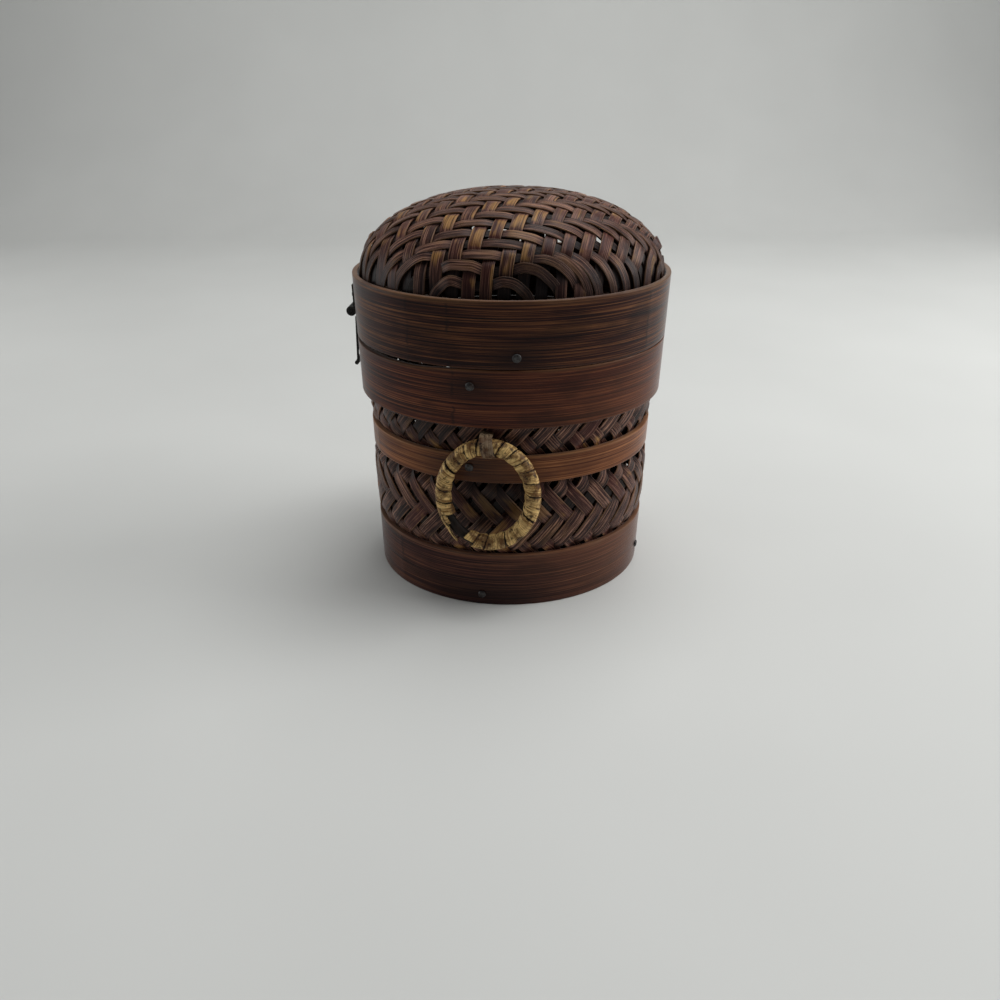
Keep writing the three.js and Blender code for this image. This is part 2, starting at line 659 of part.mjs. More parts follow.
/** Woven stretch of the wall between two levels: rows of floats that lean one way and the other in turn. */
function wovenStretch(low, high) {
  const firstRow = Math.floor((low - CROSSING_HEIGHT) / rowHeight) - 1;
  const lastRow = Math.ceil((high - CROSSING_HEIGHT) / rowHeight);
  const faces = [];
  for (let row = firstRow; row <= lastRow; row++) {
    const rising = row % 2 !== 0;
    const along = new THREE.Vector2(1 / 2, rising ? 1 : -1);
    const across = new THREE.Vector2(rising ? 1 / 4 : -1 / 4, -1 / 2);
    const cover = (rising ? RISING_WIDTH : FALLING_WIDTH) / stripSpace;
    for (let strip = 0; strip < WALL_STRIPS; strip++) {
      const middle = new THREE.Vector2(strip + (rising ? 1 / 4 : 3 / 4), TWILL * row + 1 / 2);
      faces.push(...floatFaces(middle, along, across, cover, wallPoint));
    }
  }
  const face = wallFace.filter(([, z]) => z >= low && z <= high);
  const back = face.map(([offset, z]) => [offset - WEAVE_WALL, z]).reverse();
  const space = ovalBand([[0, low], [0, high], ...back]);
  const middle = new THREE.Vector3(0, 0, (low + high) / 2);
  return fromSolid(toSolid(space).intersect(solidUnder(faces, middle)));
}

const wall = join(
  hoop(BASE_WALL_INSET, WEAVE_WALL, WALL_FOOT, BASE_HEIGHT + GAP),
  wovenStretch(BASE_HEIGHT + GAP, MID_BOTTOM - GAP),
  hoop(MID_WALL_INSET, WEAVE_WALL, MID_BOTTOM - GAP, MID_TOP + GAP),
  wovenStretch(MID_TOP + GAP, RIM_BOTTOM - GAP),
  hoop(RIM_WALL_INSET, WEAVE_WALL, RIM_BOTTOM - GAP, WALL_TOP),
);
addPiece(box, "woven_wall", cut(wall, [...baseHoles, ...midHoles, ...rimHoles, ...loopSlots]), caneFinish);

// Floor panel inside the foot of the wall, flush with the bottom of the base hoop
const floorInset = BASE_WALL_INSET + WEAVE_WALL + GAP;
const floorOutline = [];
for (let step = 0; step < OVAL_STEPS; step++) {
  floorOutline.push(ovalPoint((2 * Math.PI * step) / OVAL_STEPS, -floorInset));
}
const floorWall = { depth: FLOOR_WALL, bevelEnabled: false };
const floor = new THREE.ExtrudeGeometry(new THREE.Shape(floorOutline), floorWall);
addPiece(box, "woven_floor", floor, caneFinish);

// Bands of the basket
addPiece(box, "base_hoop", cut(hoop(BASE_INSET, HOOP_WALL, 0, BASE_HEIGHT), baseHoles), hoopFinish);
const baseInnerBottom = FLOOR_WALL + GAP;
const baseInner = hoop(floorInset, INNER_WALL, baseInnerBottom, baseInnerBottom + BASE_INNER_HEIGHT);
addPiece(box, "base_inner_hoop", cut(baseInner, baseHoles), hoopFinish);
addPiece(box, "mid_hoop", cut(hoop(MID_INSET, HOOP_WALL, MID_BOTTOM, MID_TOP), midHoles), paleHoopFinish);

/** How far the mouth of the rim sags at an angle round the oval. */
function rimSag(angle) {
  const away = Math.abs(Math.atan2(Math.sin(angle - SAG_ANGLE), Math.cos(angle - SAG_ANGLE)));
  return RIM_SAG * (1 - THREE.MathUtils.smoothstep(away, SAG_SPREAD, SAG_SPREAD + SAG_FADE));
}

const rim = movePoints(hoop(0, HOOP_WALL, RIM_BOTTOM, RIM_TOP), (point) => {
  if (point.z > (RIM_BOTTOM + RIM_TOP) / 2) {
    point.z -= rimSag(Math.atan2(point.y * HALF_LENGTH, point.x * HALF_WIDTH));
  }
});
addPiece(box, "rim_hoop", cut(rim, [...rimHoles, hingeNotch, catchHole, ...bodyLeafHoles]), hoopFinish);
const innerInset = RIM_WALL_INSET + WEAVE_WALL + GAP;
const rimInner = hoop(innerInset, INNER_WALL, WALL_TOP - RIM_INNER_HEIGHT, WALL_TOP);
addPiece(box, "rim_inner_hoop", cut(rimInner, rimHoles), hoopFinish);

// Lid: deep hoop, inner hoop and the dome clamped between them
const lidBand = hoop(0, HOOP_WALL, LID_BOTTOM, LID_TOP);
const haspBandHoles = haspHoles.map((hole) => inBox(haspFrame, hole));
const lidCuts = [...lidHoles, hingeNotch, ...lidLeafHoles, ...haspBandHoles];
addPiece(box, "lid_hoop", cut(lidBand, lidCuts), hoopFinish);
const lidInner = hoop(innerInset, INNER_WALL, LID_INNER_BOTTOM, LID_INNER_TOP);
addPiece(box, "lid_inner_hoop", cut(lidInner, lidHoles), hoopFinish);

// Woven dome: a full, flat-topped crown on a straight skirt
const domeLength = HALF_LENGTH - RIM_WALL_INSET;
const domeWidth = HALF_WIDTH - RIM_WALL_INSET;
const middleDepth = WEAVE_WALL / 2;

/** Course over the crown from its top to the spring line, at the middle of the weave. */
function crownCourse(direction) {
  const reach = Math.hypot((domeLength - middleDepth) * direction.x, (domeWidth - middleDepth) * direction.y);
  const points = [];
  for (let step = 0; step <= CROWN_STEPS; step++) {
    const lean = ((step / CROWN_STEPS) * Math.PI) / 2;
    const out = reach * Math.sin(lean) ** (2 / DOME_FULLNESS);
    const up = step < CROWN_STEPS ? (DOME_RISE - middleDepth) * Math.cos(lean) ** (2 / DOME_FULLNESS) : 0;
    points.push(new THREE.Vector2(out, up));
  }
  const path = new THREE.Path().setFromPoints(points);
  const length = path.getLength();
  return { direction, reach, path, length };
}

/** Distance in plan after a length over the crown; past the spring line it goes straight on. */
function planDistance(course, walked) {
  const length = Math.abs(walked);
  const past = length - course.length;
  const distance = past < 0 ? course.path.getPointAt(length / course.length).x : course.reach + past;
  return Math.sign(walked) * distance;
}

const acrossWarps = crownCourse(new THREE.Vector2(Math.cos(WARP_LEAN), -Math.sin(WARP_LEAN)));
const acrossWefts = crownCourse(new THREE.Vector2(Math.sin(WEFT_LEAN), Math.cos(WEFT_LEAN)));
const skew = acrossWarps.direction.cross(acrossWefts.direction);

/** Point of the dome's weave, by warps and wefts from its top; past the spring line it turns down. */
function domePoint(spot, depth) {
  const aside = planDistance(acrossWarps, WARP_START + WARP_PITCH * spot.x);
  const back = planDistance(acrossWefts, spot.y * (WEFT_PITCH + WEFT_PITCH_GAIN * Math.abs(spot.y)));
  const x = (aside * acrossWefts.direction.y - back * acrossWarps.direction.y) / skew;
  const y = (back * acrossWarps.direction.x - aside * acrossWefts.direction.x) / skew;
  const flat = new THREE.Vector2(x / (domeLength - middleDepth), y / (domeWidth - middleDepth));
  const share = flat.length();
  const sink = share < 1 ? depth : HOLLOW_DEPTH;
  const rise = share < 1 ? (DOME_RISE - sink) * (1 - share ** DOME_FULLNESS) ** (1 / DOME_FULLNESS) : 0;
  const drop = Math.max(0, share - 1) * domeLength;
  flat.divideScalar(Math.max(1, share));
  return new THREE.Vector3(
    flat.x * (domeLength - sink),
    flat.y * (domeWidth - sink),
    DOME_SPRING + rise - drop,
  );
}

/** Crown of floats: each warp or weft lies over two strips of the other set. */
function wovenCrown() {
  const reach = Math.ceil(acrossWarps.length / WEFT_PITCH) + TWILL;
  const [alongWarp, acrossWarp] = [new THREE.Vector2(0, 1), new THREE.Vector2(1 / 2, 0)];
  const [alongWeft, acrossWeft] = [new THREE.Vector2(1, 0), new THREE.Vector2(0, -1 / 2)];
  const faces = [];
  for (let warp = -reach; warp <= reach; warp++) {
    for (let weft = -reach; weft <= reach; weft++) {
      const phase = THREE.MathUtils.euclideanModulo(weft - warp + 1, 2 * TWILL);
      const float = [];
      if (phase === 0) {
        const middle = new THREE.Vector2(warp, weft + 1 / 2);
        float.push(...floatFaces(middle, alongWarp, acrossWarp, WARP_WIDTH / WARP_PITCH, domePoint));
      } else if (phase === TWILL + 1) {
        const middle = new THREE.Vector2(warp + 1 / 2, weft);
        float.push(...floatFaces(middle, alongWeft, acrossWeft, WEFT_WIDTH / WEFT_PITCH, domePoint));
      }
      if (float.flat().some((point) => point.z > DOME_SPRING)) {
        faces.push(...float);
      }
    }
  }
  return solidUnder(faces, new THREE.Vector3(0, 0, LID_INNER_BOTTOM));
}

/** Smooth hollow under the dome, straight up past the inner hoop. */
function domeHollow() {
  const reach = domeLength - WEAVE_WALL;
  const foot = new THREE.Vector2(reach, LID_BOTTOM);
  const shoulder = new THREE.Vector2(reach, LID_INNER_TOP + GAP);
  const points = [new THREE.Vector2(0, LID_BOTTOM), foot, shoulder];
  for (let ring = 1; ring <= DOME_RINGS; ring++) {
    const lean = (ring / DOME_RINGS) * (Math.PI / 2);
    const share = ring < DOME_RINGS ? Math.cos(lean) ** (2 / DOME_FULLNESS) : 0;
    const height = Math.sin(lean) ** (2 / DOME_FULLNESS);
    points.push(new THREE.Vector2(reach * share, DOME_SPRING + (DOME_RISE - WEAVE_WALL) * height));
  }
  const geometry = new THREE.LatheGeometry(points, OVAL_STEPS).rotateX(Math.PI / 2);
  return movePoints(geometry, (point) => {
    const place = ovalPoint(Math.atan2(point.y, point.x), -RIM_WALL_INSET - WEAVE_WALL);
    place.multiplyScalar(Math.hypot(point.x, point.y) / reach);
    point.setX(place.x).setY(place.y);
  });
}

const skirt = toSolid(hoop(RIM_WALL_INSET, WEAVE_WALL, LID_INNER_BOTTOM, DOME_SPRING));
const dome = fromSolid(skirt.add(wovenCrown().subtract(toSolid(domeHollow()))));
addPiece(box, "lid_dome", cut(dome, lidHoles), caneFinish);

export default box;
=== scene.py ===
"""Looks of an oval wicker jewelry box: bent wood bands, woven cane, a dome lid and carrying rings."""
import json
import logging
import math
import random
from bisect import bisect_left
from dataclasses import dataclass, field
from enum import Enum
from typing import Callable, Iterable, Sequence

import bmesh
import bpy
from bmesh.types import BMesh
from bpy.types import Material, NodeSocket, Object, ShaderNode
from mathutils import Matrix, Vector


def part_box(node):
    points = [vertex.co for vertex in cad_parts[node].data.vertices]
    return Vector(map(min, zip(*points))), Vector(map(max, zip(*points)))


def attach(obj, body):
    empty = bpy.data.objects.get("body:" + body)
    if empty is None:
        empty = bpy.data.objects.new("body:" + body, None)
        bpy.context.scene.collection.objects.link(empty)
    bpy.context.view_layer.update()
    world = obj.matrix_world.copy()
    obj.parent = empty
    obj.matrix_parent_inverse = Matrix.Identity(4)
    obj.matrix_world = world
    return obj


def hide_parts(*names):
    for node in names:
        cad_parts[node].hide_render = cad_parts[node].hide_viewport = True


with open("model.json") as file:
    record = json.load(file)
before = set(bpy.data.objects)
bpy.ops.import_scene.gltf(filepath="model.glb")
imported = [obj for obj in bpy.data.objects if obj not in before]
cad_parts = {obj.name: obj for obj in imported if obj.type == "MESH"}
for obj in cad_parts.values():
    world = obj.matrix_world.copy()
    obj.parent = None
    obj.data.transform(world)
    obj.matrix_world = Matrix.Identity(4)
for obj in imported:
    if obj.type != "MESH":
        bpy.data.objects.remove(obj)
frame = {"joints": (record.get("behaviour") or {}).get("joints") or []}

MM = 0.001
FULL_TURN = 2 * math.pi
QUARTER_TURN = math.pi / 2
UP = Vector((0, 0, 1))
SEAM = 0.002 * MM
METAL_EDGE = 0.12 * MM

Colour = tuple[float, float, float, float]
Triple = tuple[float, float, float]
log = logging.getLogger("wicker_box")


class Body(str, Enum):
    """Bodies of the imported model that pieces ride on."""

    BASKET = "basket"
    LID = "lid"
    HASP = "hasp"
    RING_FRONT = "ring_front"
    RING_BACK = "ring_back"


class Slot(str, Enum):
    """Material slots of the record."""

    DARK_BAND = "dark_band"
    PALE_BAND = "pale_band"
    CANE = "cane"
    RING_CANE = "ring_cane"
    RING_CORE = "ring_core"
    NAIL_METAL = "nail_metal"
    HASP_METAL = "hasp_metal"


class Layer(str, Enum):
    """Values that a mesh carries at its points for its finish."""

    ALONG = "along"
    ACROSS = "across"
    TONE = "tone"
    LIFT = "lift"
    EDGE = "edge"
    MARK = "mark"
    MARK_NEAR = "mark_near"
    STAIN = "stain"


class Lean(Enum):
    """Which way a bias strip of the wall climbs, seen from outside."""

    RISING = 1
    FALLING = -1


STRIP_LAYERS = (Layer.ALONG, Layer.ACROSS, Layer.TONE, Layer.LIFT)
BAND_LAYERS = (Layer.EDGE, Layer.MARK, Layer.MARK_NEAR, Layer.STAIN)


def paint(red: int, green: int, blue: int) -> Colour:
    """Linear colour of a paint given in display values from 0 to 255."""
    values = []
    for value in (red, green, blue):
        share = value / 255
        values.append(share / 12.92 if share <= 0.04045 else ((share + 0.055) / 1.055) ** 2.4)
    return (values[0], values[1], values[2], 1.0)


def smooth_step(value: float, low: float, high: float) -> float:
    """Smooth share from 0 at low to 1 at high."""
    share = min(1.0, max(0.0, (value - low) / (high - low)))
    return share * share * (3 - 2 * share)


class Shader:
    """Node graph of one material, with short calls for the nodes that the finishes share."""

    def __init__(self, name: str) -> None:
        """Starts a material with a bare surface node."""
        self.material: Material = bpy.data.materials.new(name)
        self.material.use_nodes = True
        self.tree = self.material.node_tree
        self.surface = self.tree.nodes["Principled BSDF"]

    def node(self, kind: str, **settings: object) -> ShaderNode:
        """Adds a node.

        Args:
            kind: The node's type name.
            settings: Properties to set on the node.

        Returns:
            The new node.
        """
        made = self.tree.nodes.new(kind)
        for key, value in settings.items():
            setattr(made, key, value)
        return made

    def feed(self, socket: NodeSocket, value: NodeSocket | float | Sequence[float]) -> None:
        """Links a socket into another one, or sets a constant on it."""
        if isinstance(value, NodeSocket):
            self.tree.links.new(value, socket)
        else:
            socket.default_value = value

    def value(self, layer: Layer) -> NodeSocket:
        """The value that the mesh carries in a layer."""
        return self.node("ShaderNodeAttribute", attribute_name=layer.value).outputs["Fac"]

    def place(self, scale: Triple) -> NodeSocket:
        """Object coordinates, scaled along each axis."""
        coords = self.node("ShaderNodeTexCoord")
        mapping = self.node("ShaderNodeMapping")
        self.feed(mapping.inputs["Vector"], coords.outputs["Object"])
        mapping.inputs["Scale"].default_value = scale
        return mapping.outputs["Vector"]

    def evenly(self, scale: float) -> NodeSocket:
        """Object coordinates, scaled alike along every axis."""
        return self.place((scale, scale, scale))

    def near(self, point: Triple, reach: float) -> NodeSocket:
        """A value that falls from 1 at a point to 0 at a distance from it."""
        coords = self.node("ShaderNodeTexCoord")
        away = self.node("ShaderNodeVectorMath", operation="DISTANCE")
        self.feed(away.inputs[0], coords.outputs["Object"])
        away.inputs[1].default_value = point
        return self.span(away.outputs["Value"], 0.0, reach, 1.0, 0.0)

    def level(self) -> NodeSocket:
        """Height above the floor."""
        parts = self.node("ShaderNodeSeparateXYZ")
        self.feed(parts.inputs["Vector"], self.node("ShaderNodeTexCoord").outputs["Object"])
        return parts.outputs["Z"]

    def join(self, x: NodeSocket | float, y: NodeSocket | float, z: NodeSocket | float) -> NodeSocket:
        """A vector of three values."""
        made = self.node("ShaderNodeCombineXYZ")
        for socket, value in zip(made.inputs, (x, y, z)):
            self.feed(socket, value)
        return made.outputs["Vector"]

    def arithmetic(self, operation: str, a: NodeSocket | float, b: NodeSocket | float = 0.0) -> NodeSocket:
        """Result of an arithmetic operation on two values."""
        made = self.node("ShaderNodeMath", operation=operation)
        self.feed(made.inputs[0], a)
        self.feed(made.inputs[1], b)
        return made.outputs["Value"]

    def times(self, first: NodeSocket, *others: NodeSocket | float) -> NodeSocket:
        """Product of several values."""
        result = first
        for other in others:
            result = self.arithmetic("MULTIPLY", result, other)
        return result

    def span(
        self, value: NodeSocket, low: float, high: float, to_low: float = 0.0, to_high: float = 1.0
    ) -> NodeSocket:
        """Smooth map of a value from one range to another.

        Args:
            value: The value to map.
            low: Value that maps to to_low.
            high: Value that maps to to_high.
            to_low: Result at the low value.
            to_high: Result at the high value.

        Returns:
            The mapped value.
        """
        made = self.node("ShaderNodeMapRange", interpolation_type="SMOOTHSTEP")
        self.feed(made.inputs["Value"], value)
        made.inputs["From Min"].default_value = low
        made.inputs["From Max"].default_value = high
        made.inputs["To Min"].default_value = to_low
        made.inputs["To Max"].default_value = to_high
        return made.outputs["Result"]

    def noise(self, vector: NodeSocket, detail: float = 3.0, roughness: float = 0.6) -> NodeSocket:
        """Noise at a vector.

        Args:
            vector: Where the noise is read.
            detail: How many finer layers it has.
            roughness: How strong the finer layers are.

        Returns:
            A value from 0 to 1.
        """
        made = self.node("ShaderNodeTexNoise")
        self.feed(made.inputs["Vector"], vector)
        made.inputs["Scale"].default_value = 1.0
        made.inputs["Detail"].default_value = detail
        made.inputs["Roughness"].default_value = roughness
        return made.outputs["Fac"]

    def ramp(self, value: NodeSocket, stops: Sequence[tuple[float, Colour]]) -> NodeSocket:
        """Colour of a value on a ramp.

        Args:
            value: The value, from 0 to 1.
            stops: Places and colours of the ramp, at least two, in order.

        Returns:
            The colour.
        """
        made = self.node("ShaderNodeValToRGB")
        self.feed(made.inputs["Fac"], value)
        elements = made.color_ramp.elements
        while len(elements) < len(stops):
            elements.new(1.0)
        for element, (place, colour) in zip(elements, stops):
            element.position = place
            element.color = colour
        return made.outputs["Color"]

    def mix(self, factor: NodeSocket, a: NodeSocket, b: Colour) -> NodeSocket:
        """Colour between a colour of the graph and a paint."""
        made = self.node("ShaderNodeMixRGB")
        self.feed(made.inputs["Fac"], factor)
        self.feed(made.inputs["Color1"], a)
        self.feed(made.inputs["Color2"], b)
        return made.outputs["Color"]

    def relief(self, height: NodeSocket, strength: float, depth: float) -> None:
        """Bumps the surface by a height."""
        bump = self.node("ShaderNodeBump")
        bump.inputs["Strength"].default_value = strength
        bump.inputs["Distance"].default_value = depth
        self.feed(bump.inputs["Height"], height)
        self.feed(self.surface.inputs["Normal"], bump.outputs["Normal"])

    def finish(
        self, colour: NodeSocket, roughness: NodeSocket, specular: float, metallic: float = 0.0
    ) -> Material:
        """Sets the surface and returns the material.

        Args:
            colour: Colour of the surface.
            roughness: Roughness of the surface.
            specular: Strength of the reflections.
            metallic: 0 for wood and cane, towards 1 for metal.

        Returns:
            The finished material.
        """
        self.feed(self.surface.inputs["Base Color"], colour)
        self.feed(self.surface.inputs["Roughness"], roughness)
        self.surface.inputs["Specular IOR Level"].default_value = specular
        self.surface.inputs["Metallic"].default_value = metallic
        return self.material


@dataclass(frozen=True)
class BandFinish:
    """Stained bent wood: thin streaks along the band, dark marks round given spots, worn edges, and painted
    light towards one side.
    """

    name: str
    dark: Colour
    middle: Colour
    light: Colour
    worn: Colour
    blotches: float = 0.45
    stain: Colour = paint(22, 13, 14)
    sheen: float = 0.4
    # Painted light: how strongly the band is lightened towards a point on its right front side, where the
    # lamps fall, and how far that reaches.
    painted_light: float = 0.0
    painted_light_at: Triple = (52 * MM, -26 * MM, 46 * MM)
    painted_light_reach: float = 80 * MM
    line_scale: Triple = (18, 18, 2700)
    streak_scale: Triple = (15, 15, 620)
    patch_scale: Triple = (36, 36, 85)
    relief_depth: float = 0.25 * MM

    def material(self) -> Material:
        """Builds the material."""
        shader = Shader(self.name)
        lines = shader.noise(shader.place(self.line_scale), detail=2)
        streaks = shader.noise(shader.place(self.streak_scale))
        patches = shader.noise(shader.place(self.patch_scale))
        grain = shader.arithmetic("ADD", shader.times(lines, 0.7), shader.times(streaks, 0.3))
        colour = shader.ramp(grain, ((0.38, self.dark), (0.49, self.middle), (0.66, self.light)))
        colour = shader.mix(shader.span(patches, 0.5, 0.68, 0.0, self.blotches), colour, self.dark)
        # Painted light: lighter towards the right front side.
        fade = shader.times(shader.near(self.painted_light_at, self.painted_light_reach), self.painted_light)
        colour = shader.mix(fade, colour, self.light)
        # Dark marks round given spots: stains round the nails, painted shadow round the rings on the middle
        # band.
        blot = shader.times(shader.value(Layer.STAIN), shader.span(streaks, 0.3, 0.6, 0.6, 1.0), 0.85)
        colour = shader.mix(blot, colour, self.stain)
        colour = shader.mix(self.marks(shader), colour, self.stain)
        wear = shader.times(shader.value(Layer.EDGE), shader.span(patches, 0.35, 0.6, 0.35, 1.0), 0.7)
        colour = shader.mix(wear, colour, self.worn)
        shader.relief(grain, 0.5, self.relief_depth)
        shader.surface.inputs["Sheen Weight"].default_value = self.sheen
        shader.surface.inputs["Sheen Roughness"].default_value = 0.3
        return shader.finish(colour, shader.span(grain, 0.35, 0.65, 0.32, 0.48), 0.12)

    def marks(self, shader: Shader) -> NodeSocket:
        """Short, jagged dark marks where the cane had its joints."""
        wander = shader.noise(shader.place((60, 60, 420)))
        broken = shader.noise(shader.place((25, 25, 190)))
        shift = shader.times(shader.arithmetic("SUBTRACT", wander, 0.5), 3.2)
        away = shader.arithmetic("ABSOLUTE", shader.arithmetic("ADD", shader.value(Layer.MARK), shift))
        line = shader.span(away, 0.15, 0.8, 1.0, 0.0)
        return shader.times(line, shader.value(Layer.MARK_NEAR), shader.span(broken, 0.42, 0.56), 0.55)


@dataclass(frozen=True)
class CaneFinish:
    """Dark stained cane with grain along the strip, golden where it is rubbed on top of the weave."""

    name: str
    dark: Colour = paint(11, 7, 8)
    middle: Colour = paint(66, 41, 37)
    light: Colour = paint(176, 132, 110)
    red: Colour = paint(82, 36, 31)
    gold: Colour = paint(170, 127, 72)
    edge: Colour = paint(152, 120, 92)
    rubbed_at: Triple = (-2 * MM, -48 * MM, 38 * MM)
    rubbed_reach: float = 40 * MM
    # Painted shade: spots round which the weave is darkened, how far that reaches, and the heights over which
    # it darkens towards the lower one.
    painted_shade_at: tuple[Triple, ...] = ((-8 * MM, -48 * MM, 54 * MM), (-36 * MM, -38 * MM, 84 * MM))
    painted_shade_reach: float = 30 * MM
    painted_shade_levels: tuple[float, float] = (0.0, 1.0 * MM)

    def material(self) -> Material:
        """Builds the material."""
        shader = Shader(self.name)
        along, across, tone, lift = (shader.value(layer) for layer in STRIP_LAYERS)
        far = shader.times(tone, 47.0)
        fibres = shader.join(shader.times(along, 60.0), shader.times(across, 6.5), far)
        grain = shader.noise(fibres, detail=4, roughness=0.7)
        spread = shader.join(shader.times(along, 70.0), shader.times(across, 0.5), far)
        patch = shader.noise(spread, detail=2)
        colour = shader.ramp(grain, ((0.35, self.dark), (0.5, self.middle), (0.66, self.light)))
        colour = shader.mix(shader.span(patch, 0.36, 0.5, 0.6, 0.0), colour, self.dark)
        colour = shader.mix(shader.span(tone, 0.35, 1.0, 0.0, 0.45), colour, self.red)
        top = shader.times(shader.span(lift, 0.6, 0.98), shader.span(tone, 0.4, 0.6, 0.2, 1.0))
        handled = shader.times(shader.near(self.rubbed_at, self.rubbed_reach), 0.16)
        spots = shader.span(shader.arithmetic("ADD", patch, handled), 0.58, 0.72)
        rub = shader.times(top, spots, shader.span(grain, 0.36, 0.56, 0.2, 1.0))
        colour = shader.mix(shader.times(rub, 0.85), colour, self.gold)
        # Painted highlight: lighter along the edges of the strips where they lie on top.
        side = shader.span(shader.arithmetic("ABSOLUTE", across), 0.86, 0.95)
        rim = shader.times(side, shader.span(lift, 0.5, 0.9))
        colour = shader.mix(shader.times(rim, 0.45), colour, self.edge)
        # Painted shade: darker where a strip dips under the others.
        colour = shader.mix(shader.span(lift, 0.0, 0.7, 0.85, 0.0), colour, self.dark)
        # Painted shade: darker towards the lower height and round the given spots, such as the wall under the
        # middle band behind the ring.
        painted_shade = shader.span(shader.level(), *self.painted_shade_levels, 0.62, 0.0)
        for spot in self.painted_shade_at:
            shade_smear = shader.times(shader.near(spot, self.painted_shade_reach), 0.84)
            painted_shade = shader.arithmetic("MAXIMUM", painted_shade, shade_smear)
        colour = shader.mix(painted_shade, colour, self.dark)
        shader.relief(grain, 0.55, 0.2 * MM)
        return shader.finish(colour, shader.span(grain, 0.35, 0.65, 0.32, 0.48), 0.15)


@dataclass(frozen=True)
class RingCaneFinish:
    """Natural cane, tan with brown stains, with painted shade in dark, uneven lines where the turns meet."""

    name: str
    tan: Colour = paint(136, 98, 52)
    pale: Colour = paint(228, 192, 126)
    brown: Colour = paint(78, 45, 20)
    speck: Colour = paint(34, 20, 11)
    blot_scale: float = 190
    speck_scale: float = 620

    def material(self) -> Material:
        """Builds the material."""
        shader = Shader(self.name)
        along, across, tone, _ = (shader.value(layer) for layer in STRIP_LAYERS)
        far = shader.times(tone, 31.0)
        fibres = shader.join(shader.times(along, 110.0), shader.times(across, 4.0), far)
        grain = shader.noise(fibres, detail=4)
        blots = shader.noise(shader.evenly(self.blot_scale), detail=4, roughness=0.65)
        specks = shader.noise(shader.evenly(self.speck_scale), detail=4, roughness=0.7)
        colour = shader.ramp(grain, ((0.38, self.tan), (0.56, self.pale)))
        colour = shader.mix(shader.span(blots, 0.44, 0.62, 0.0, 0.85), colour, self.brown)
        colour = shader.mix(shader.span(specks, 0.54, 0.64, 0.0, 0.85), colour, self.speck)
        # Painted shade in the creases where the turns meet.
        uneven = shader.times(shader.arithmetic("SUBTRACT", specks, 0.5), 0.7)
        meet = shader.arithmetic("ADD", shader.arithmetic("ABSOLUTE", across), uneven)
        colour = shader.mix(shader.span(meet, 0.84, 0.98, 0.0, 0.92), colour, self.speck)
        shader.relief(shader.arithmetic("ADD", grain, specks), 0.5, 0.3 * MM)
        return shader.finish(colour, shader.span(grain, 0.3, 0.7, 0.42, 0.65), 0.2)


@dataclass(frozen=True)
class CoreFinish:
    """Dark bent cane under the winding of a ring."""

    name: str
    dark: Colour = paint(14, 11, 10)
    light: Colour = paint(42, 32, 26)
    grain_scale: float = 420

    def material(self) -> Material:
        """Builds the material."""
        shader = Shader(self.name)
        grain = shader.noise(shader.evenly(self.grain_scale), detail=4)
        colour = shader.ramp(grain, ((0.36, self.dark), (0.7, self.light)))
        shader.relief(grain, 0.4, 0.2 * MM)
        return shader.finish(colour, shader.span(grain, 0.3, 0.7, 0.45, 0.7), 0.15)


@dataclass(frozen=True)
class MetalFinish:
    """Old dark metal with dull patches."""

    name: str
    dark: Colour
    light: Colour
    rust: Colour = paint(58, 42, 34)
    scuff_scale: float = 900
    patch_scale: float = 260

    def material(self) -> Material:
        """Builds the material."""
        shader = Shader(self.name)
        scuffs = shader.noise(shader.evenly(self.scuff_scale), detail=4)
        patches = shader.noise(shader.evenly(self.patch_scale), detail=2)
        colour = shader.ramp(scuffs, ((0.36, self.dark), (0.66, self.light)))
        colour = shader.mix(shader.span(patches, 0.52, 0.7, 0.0, 0.5), colour, self.rust)
        shader.relief(scuffs, 0.3, 0.1 * MM)
        return shader.finish(colour, shader.span(scuffs, 0.3, 0.7, 0.38, 0.6), 0.5, metallic=0.8)


@dataclass(frozen=True)
class StageFinish:
    """Plain pale paper of the floor and backdrop."""

    name: str
    colour: Colour
    shade: Colour
    cloud_scale: float = 6

    def material(self) -> Material:
        """Builds the material."""
        shader = Shader(self.name)
        cloud = shader.noise(shader.evenly(self.cloud_scale), detail=2)
        colour = shader.ramp(cloud, ((0.3, self.shade), (0.7, self.colour)))
        return shader.finish(colour, shader.span(cloud, 0.3, 0.7, 0.75, 0.85), 0.2)


def add_piece(
    bm: BMesh,
    name: str,
    material: Material,
    body: Body,
    slot: Slot,
    stands_for: Iterable[str],
    sharp: float = math.radians(30),
) -> Object:
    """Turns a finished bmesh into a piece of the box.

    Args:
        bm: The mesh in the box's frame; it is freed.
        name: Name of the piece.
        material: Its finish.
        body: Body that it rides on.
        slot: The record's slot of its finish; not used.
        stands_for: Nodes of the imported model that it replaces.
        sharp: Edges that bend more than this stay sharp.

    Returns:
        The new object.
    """
    bmesh.ops.recalc_face_normals(bm, faces=bm.faces)
    mesh = bpy.data.meshes.new(name)
    for face in bm.faces:
        face.smooth = True
    bm.to_mesh(mesh)
    bm.free()
    mesh.set_sharp_from_angle(angle=sharp)
    mesh.materials.append(material)
    piece = bpy.data.objects.new(name, mesh)
    bpy.context.scene.collection.objects.link(piece)
    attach(piece, body.value)
    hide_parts(*stands_for)
    log.info("%s: %d faces on %s", name, len(mesh.polygons), body.value)
    return piece


def layered_bmesh(layers: Iterable[Layer]) -> BMesh:
    """An empty bmesh whose points carry the named values."""
    bm = bmesh.new()
    for layer in layers:
        bm.verts.layers.float.new(layer.value)
    return bm


